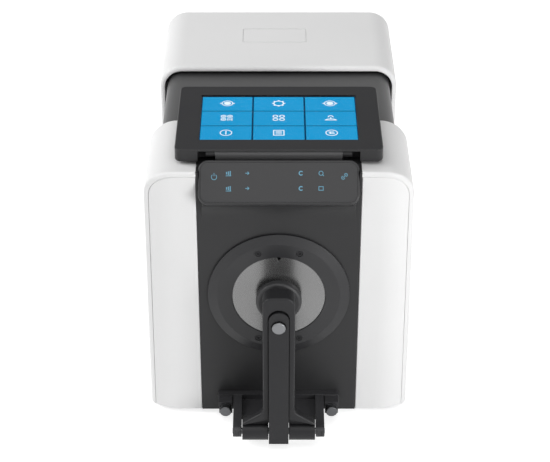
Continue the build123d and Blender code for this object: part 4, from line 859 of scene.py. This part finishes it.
@dataclass
class Shells(SubAssembly):
    """White outer shells of the front and rear sections."""

    finishes: ClassVar[dict[str, Finish]] = {
        "front_shell": WHITE_ABS,
        "front_panel_left": WHITE_ABS,
        "front_panel_right": WHITE_ABS,
        "rear_cover": WHITE_ABS,
    }
    label_at_mm: Point = (-3.75, 139.55, 265.4)
    label_width_mm: float = 63.5
    label_length_mm: float = 31.0
    label_corner_mm: float = 1.6
    label_thickness_mm: float = 0.5

    def add_pieces(self) -> None:
        """Lays a bare plate in the rear cover's shallow recess."""
        label = FlatMarks(self.label_thickness_mm)
        label.plate(0, 0, self.label_width_mm, self.label_length_mm, self.label_corner_mm)
        sheet = Matrix.Translation(Vector(self.label_at_mm) * MM)
        label.piece("label_plate", sheet, WHITE_ABS, Body.INSTRUMENT)


@dataclass
class Chassis(SubAssembly):
    """Base plate, feet and the frames that stand on it."""

    finishes: ClassVar[dict[str, Finish]] = {
        "base_plate": CAST_ALUMINIUM,
        "front_plate": CAST_ALUMINIUM,
        "rubber_feet": FOOT_RUBBER,
        "bulkhead": CHARCOAL_ABS,
        "rear_frame": BRUSHED_SHEET,
        "cover_rails": BRUSHED_SHEET,
        "sphere_bracket": BRUSHED_SHEET,
    }


@dataclass
class MeasuringPort(SubAssembly):
    """Centre strip with the bevelled ring and its target plate."""

    finishes: ClassVar[dict[str, Finish]] = {
        "front_strip": CHARCOAL_ABS,
        "port_ring": RING_COAT,
        "ring_screws": DARK_COAT,
        "target_plate": TARGET_GREY,
    }


@dataclass
class KeyPanel(SubAssembly):
    """Sloping touch-key panel with its small blue signs."""

    finishes: ClassVar[dict[str, Finish]] = {
        "key_housing": KEY_ABS,
        "key_overlay": TOUCH_SHEET,
        "key_board": BOARD,
    }
    run_mm: float = 23.5
    rise_mm: float = 31.5
    sheet_mm: float = 0.8
    sink_mm: float = 0.02
    stroke_mm: float = 0.55
    upper_row_mm: float = 8.0
    lower_row_mm: float = -5.4
    bars_mm: float = -44.2
    arrow_mm: float = -27.9
    crescent_mm: float = 19.4
    outline_mm: float = 36.9
    power_at_mm: Spot = (-56.8, 4.6)
    link_at_mm: Spot = (57.5, 5.2)

    def sheet(self) -> Matrix:
        """Places a drawing on the touch sheet's face.

        Returns:
            The matrix from the drawing to the frame.
        """
        low, high = (Vector(corner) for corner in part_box("key_overlay"))
        slope = math.atan2(self.rise_mm, self.run_mm)
        outward = Vector((0, -math.sin(slope), math.cos(slope)))
        middle = (low + high) / 2 + outward * (self.sheet_mm / 2 - self.sink_mm) * MM
        return Matrix.Translation(middle) @ Matrix.Rotation(slope, 4, "X")

    def add_pieces(self) -> None:
        """Draws the ten key signs."""
        marks = FlatMarks()
        signs = [(KeySign.power, *self.power_at_mm)]
        for row in (self.upper_row_mm, self.lower_row_mm):
            signs.append((KeySign.bars, self.bars_mm, row))
            signs.append((KeySign.arrow, self.arrow_mm, row))
            signs.append((KeySign.crescent, self.crescent_mm, row))
        signs.append((KeySign.lens, self.outline_mm, self.upper_row_mm))
        signs.append((KeySign.box, self.outline_mm, self.lower_row_mm))
        signs.append((KeySign.link, *self.link_at_mm))
        for draw, x, y in signs:
            draw(KeySign(marks, x, y, self.stroke_mm))
        marks.piece("key_signs", self.sheet(), KEY_BLUE, Body.INSTRUMENT)


@dataclass
class Display(SubAssembly):
    """Tilting display with its lit picture of nine tiles."""

    finishes: ClassVar[dict[str, Finish]] = {
        "display_back": DISPLAY_ABS,
        "display_glass": COVER_GLASS,
        "display_panel": BLACK_ABS,
        "display_board": BOARD,
        "hinge_bar": BAR_ABS,
        "display_pin": TURNED_STEEL,
    }
    width_mm: float = 142.0
    length_mm: float = 85.2
    tiles_a_side: int = 3
    column_gap_mm: float = 1.6
    row_gap_mm: float = 1.2
    layer_mm: float = 0.08
    sign_lift_mm: float = 1.0

    def sheet(self, layer: int) -> Matrix:
        """Gives the matrix from the drawing to a layer over the screen, counted from below."""
        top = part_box("display_panel")[1][2] + layer * self.layer_mm * MM
        return Matrix.Translation((0, SCREEN_MIDDLE_MM * MM, top))

    def pitch(self) -> Spot:
        """Gives the distances between the tiles' middles, across and along the screen."""
        return self.width_mm / self.tiles_a_side, self.length_mm / self.tiles_a_side

    def tile_places(self) -> list[Spot]:
        """Gives the middles of the nine tiles, from the back left to the front right."""
        across, back = self.pitch()
        return [(across * column, -back * row) for row in (-1, 0, 1) for column in (-1, 0, 1)]

    def layer(self, name: str, marks: FlatMarks, number: int, finish: Finish) -> None:
        """Turns drawn marks into one layer of the picture."""
        marks.piece(name, self.sheet(number), finish, Body.DISPLAY)

    def add_pieces(self) -> None:
        """Makes the ground, the tiles and one plain sign in each tile."""
        ground = FlatMarks(self.layer_mm)
        ground.plate(0, 0, self.width_mm, self.length_mm)
        self.layer("screen_ground", ground, 0, GROUND_BLUE)
        tiles = FlatMarks(self.layer_mm)
        across, back = self.pitch()
        for x, y in self.tile_places():
            tiles.plate(x, y, across - self.column_gap_mm, back - self.row_gap_mm)
        self.layer("screen_tiles", tiles, 1, TILE_BLUE)
        signs = FlatMarks(self.layer_mm)
        drawn = (
            TileSign.eye,
            TileSign.gear,
            TileSign.eye,
            TileSign.blocks,
            TileSign.clover,
            TileSign.lamp,
            TileSign.dial,
            TileSign.page,
            TileSign.list_disc,
        )
        for draw, (x, y) in zip(drawn, self.tile_places()):
            draw(TileSign(signs, x, y + self.sign_lift_mm))
        self.layer("screen_signs", signs, 2, SIGN_WHITE)


@dataclass
class Compartment(SubAssembly):
    """Transmission compartment with its sliding cover, tray, holder and clamp."""

    finishes: ClassVar[dict[str, Finish]] = {
        "sliding_cover": COVER_ABS,
        "skirt_left": COVER_ABS,
        "skirt_right": COVER_ABS,
        "compartment_tray": BLACK_ANODISED,
        "cuvette_holder": BLACK_ANODISED,
        "cuvette_clamp": BLACK_ANODISED,
    }


@dataclass
class SampleArm(SubAssembly):
    """Swinging sample arm with its bracket, plunger and pad."""

    finishes: ClassVar[dict[str, Finish]] = {
        "arm_bracket": BRACKET_COAT,
        "sample_arm": DARK_COAT,
        "arm_centre_bar": DARK_COAT,
        "hinge_pin": TURNED_STEEL,
        "arm_springs": WOUND_WIRE,
        "plunger": TURNED_STEEL,
        "plunger_spring": SPRING_WIRE,
        "sample_pad": SOFT_RUBBER,
        "thumbscrew_left": NICKEL_STEEL,
        "thumbscrew_right": NICKEL_STEEL,
    }
    wire_mm: float = 1.2
    wire_sides: int = 10
    turns: int = 5
    steps_a_turn: int = 28
    travel_mm: float = 6.0

    def coil(self, low: Vector, high: Vector) -> bpy.types.Mesh:
        """Winds a wire along Y to fill a box.

        Args:
            low: The box's lowest corner.
            high: Its highest corner.

        Returns:
            The coil's mesh.
        """
        middle = (low + high) / 2
        wire = self.wire_mm * MM / 2
        shape = bmesh.new()
        ring = bmesh.ops.create_circle(shape, segments=self.wire_sides, radius=wire)["verts"]
        start = Matrix.Translation((high.x - wire, low.y + wire, middle.z))
        bmesh.ops.transform(shape, matrix=start, verts=ring)
        steps = self.turns * self.steps_a_turn
        bmesh.ops.spin(
            shape,
            geom=shape.verts[:] + shape.edges[:],
            cent=middle,
            axis=(0, 1, 0),
            dvec=(0, (high.y - low.y - 2 * wire) / steps, 0),
            angle=math.tau * self.turns,
            steps=steps,
            use_merge=False,
        )
        bmesh.ops.holes_fill(shape, edges=[edge for edge in shape.edges if edge.is_boundary])
        bmesh.ops.recalc_face_normals(shape, faces=shape.faces)
        mesh = bpy.data.meshes.new("plunger_coil")
        shape.to_mesh(mesh)
        shape.free()
        mesh.polygons.foreach_set("use_smooth", [len(face.vertices) == 4 for face in mesh.polygons])
        return mesh

    def add_pieces(self) -> None:
        """Puts a coil in place of the plunger's plain spring."""
        low, high = (Vector(corner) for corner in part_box("plunger_spring"))
        mesh = self.coil(low, high)
        mesh.materials.append(SPRING_WIRE.build())
        coil = bpy.data.objects.new("plunger_coil", mesh)
        bpy.context.scene.collection.objects.link(coil)
        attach(coil, Body.ARM.value)
        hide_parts("plunger_spring")
        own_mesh(coil)
        LOG.info("plunger_coil: %d faces on %s", len(mesh.polygons), Body.ARM.value)


@dataclass
class Optics(SubAssembly):
    """Integrating sphere, lamp, lens, spectrometer and camera."""

    finishes: ClassVar[dict[str, Finish]] = {
        "sphere_front": SPHERE_WHITE,
        "sphere_rear": SPHERE_WHITE,
        "lamp_housing": BLACK_ANODISED,
        "flash_lamp": CLEAR_GLASS,
        "lens_tube": BLACK_ANODISED,
        "lens": CLEAR_GLASS,
        "spectrometer_body": CAST_ALUMINIUM,
        "spectrometer_lid": BRUSHED_SHEET,
        "grating": GRATING,
        "detector_array": BLACK_ABS,
        "locating_camera": BLACK_ABS,
    }


@dataclass
class BackSide(SubAssembly):
    """Back panel with its sockets and switch, and the boards behind it."""

    finishes: ClassVar[dict[str, Finish]] = {
        "back_panel": GREY_COAT,
        "cover_screws": PLATED_STEEL,
        "power_jack": BLACK_ABS,
        "switch_frame": BLACK_ABS,
        "switch_rocker": BLACK_ABS,
        "usb_port": PLATED_STEEL,
        "serial_port": PLATED_STEEL,
        "main_board": BOARD,
        "power_board": BOARD,
    }


@dataclass(frozen=True)
class Lamp:
    """A soft square lamp that faces the object."""

    name: str
    azimuth_deg: float
    height_deg: float
    distance: float
    size: float
    level: float

    def away(self) -> Vector:
        """Gives the direction from the object to the lamp."""
        turn, rise = math.radians(self.azimuth_deg), math.radians(self.height_deg)
        flat = math.cos(rise)
        return Vector((math.sin(turn) * flat, -math.cos(turn) * flat, math.sin(rise)))

    def add(self, aim: Vector) -> None:
        """Hangs the lamp; its level is the light that a facing white surface sends back.

        Args:
            aim: The point that it faces.
        """
        data = bpy.data.lights.new(self.name, "AREA")
        data.size = self.size
        data.energy = self.level * (math.pi * self.distance) ** 2
        lamp = bpy.data.objects.new(self.name, data)
        lamp.location = aim + self.away() * self.distance
        lamp.rotation_euler = self.away().to_track_quat("Z", "Y").to_euler()
        bpy.context.scene.collection.objects.link(lamp)


@dataclass
class Studio:
    """Pale floor, soft lamps and the camera at the photograph's angle."""

    focal_px: float = 1619.0
    width_px: float = 550.0
    sensor_mm: float = 36.0
    pitch_deg: float = 32.0
    camera_at: Point = (-0.0034, -1.36815, 0.9726)
    sight: float = 50.0
    aim: Point = (0.0, 0.0, 0.13)
    world_level: float = 0.28
    floor_reach: float = 6.0
    floor_colour: str = "#F2F2F2"
    floor_lift: float = 0.68
    lamps: tuple[Lamp, ...] = (
        Lamp("front_lamp", 42, 11, 2.4, 1.0, 0.5),
        Lamp("left_lamp", -95, 34, 2.4, 1.3, 0.56),
        Lamp("top_lamp", 0, 64, 2.0, 1.4, 0.2),
    )

    def seen_white(self, tree: Tree) -> Socket:
        """Tells which rays see the backdrop itself and not only its light.

        Args:
            tree: The tree of the floor or the world.

        Returns:
            One for camera, glossy and transmission rays, else zero.
        """
        path = add_node(tree, "ShaderNodeLightPath").outputs
        seen = path["Is Camera Ray"]
        for other in ("Is Glossy Ray", "Is Transmission Ray"):
            links = {0: seen, 1: path[other]}
            seen = add_node(tree, "ShaderNodeMath", {"operation": "MAXIMUM"}, links).outputs[0]
        return seen

    def paper(self) -> bpy.types.Material:
        """Makes the floor's white paper, lifted a little where it is seen.

        Returns:
            The material.
        """
        material = bpy.data.materials.new("studio_paper")
        material.use_nodes = True
        tree = material.node_tree
        tree.nodes.clear()
        sheet = add_node(tree, "ShaderNodeBsdfDiffuse", {"Color": linear(self.floor_colour)})
        share = {"operation": "MULTIPLY", 1: self.floor_lift}
        lift = add_node(tree, "ShaderNodeMath", share, {0: self.seen_white(tree)}).outputs[0]
        glow = add_node(tree, "ShaderNodeEmission", {"Color": WHITE}, {"Strength": lift})
        both = {0: sheet.outputs[0], 1: glow.outputs[0]}
        total = add_node(tree, "ShaderNodeAddShader", {}, both).outputs[0]
        add_node(tree, "ShaderNodeOutputMaterial", {}, {"Surface": total})
        return material

    def floor(self) -> None:
        """Lays the floor, which keeps the object's soft shadow."""
        shape = bmesh.new()
        bmesh.ops.create_grid(shape, x_segments=1, y_segments=1, size=self.floor_reach)
        mesh = bpy.data.meshes.new("studio_floor")
        shape.to_mesh(mesh)
        shape.free()
        mesh.materials.append(self.paper())
        floor = bpy.data.objects.new("studio_floor", mesh)
        bpy.context.scene.collection.objects.link(floor)

    def world(self) -> None:
        """Makes an even world: a soft light that is seen as plain white."""
        world = bpy.data.worlds.new("studio_world")
        bpy.context.scene.world = world
        world.use_nodes = True
        tree = world.node_tree
        tree.nodes.clear()
        levels = (self.world_level, 1.0)
        light, seen = (
            add_node(tree, "ShaderNodeBackground", {"Color": WHITE, "Strength": level}).outputs[0]
            for level in levels
        )
        links = {0: self.seen_white(tree), 1: light, 2: seen}
        pick = add_node(tree, "ShaderNodeMixShader", {}, links).outputs[0]
        add_node(tree, "ShaderNodeOutputWorld", {}, {"Surface": pick})

    def camera(self) -> None:
        """Adds the camera."""
        data = bpy.data.cameras.new("camera")
        data.sensor_width = self.sensor_mm
        data.lens = self.focal_px * self.sensor_mm / self.width_px
        data.clip_end = self.sight
        camera = bpy.data.objects.new("camera", data)
        camera.location = self.camera_at
        camera.rotation_euler = (math.radians(90 - self.pitch_deg), 0, 0)
        bpy.context.scene.collection.objects.link(camera)
        bpy.context.scene.camera = camera

    def build(self) -> None:
        """Sets up floor, world, lamps and camera."""
        self.floor()
        self.world()
        for lamp in self.lamps:
            lamp.add(Vector(self.aim))
        self.camera()
        bpy.context.scene.view_settings.view_transform = "Standard"
        LOG.info("studio: %d lamps", len(self.lamps))


def main() -> None:
    """Builds the studio and each group in order."""
    Studio().build()
    groups: list[SubAssembly] = [
        Shells(),
        Chassis(),
        MeasuringPort(),
        KeyPanel(),
        Display(),
        Compartment(),
        SampleArm(),
        Optics(),
        BackSide(),
    ]
    for group in groups:
        group.build()
    bare = set(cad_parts) - {name for group in groups for name in group.finishes}
    LOG.info("nodes without a finish: %s", sorted(bare))


if __name__ == "__main__":
    main()
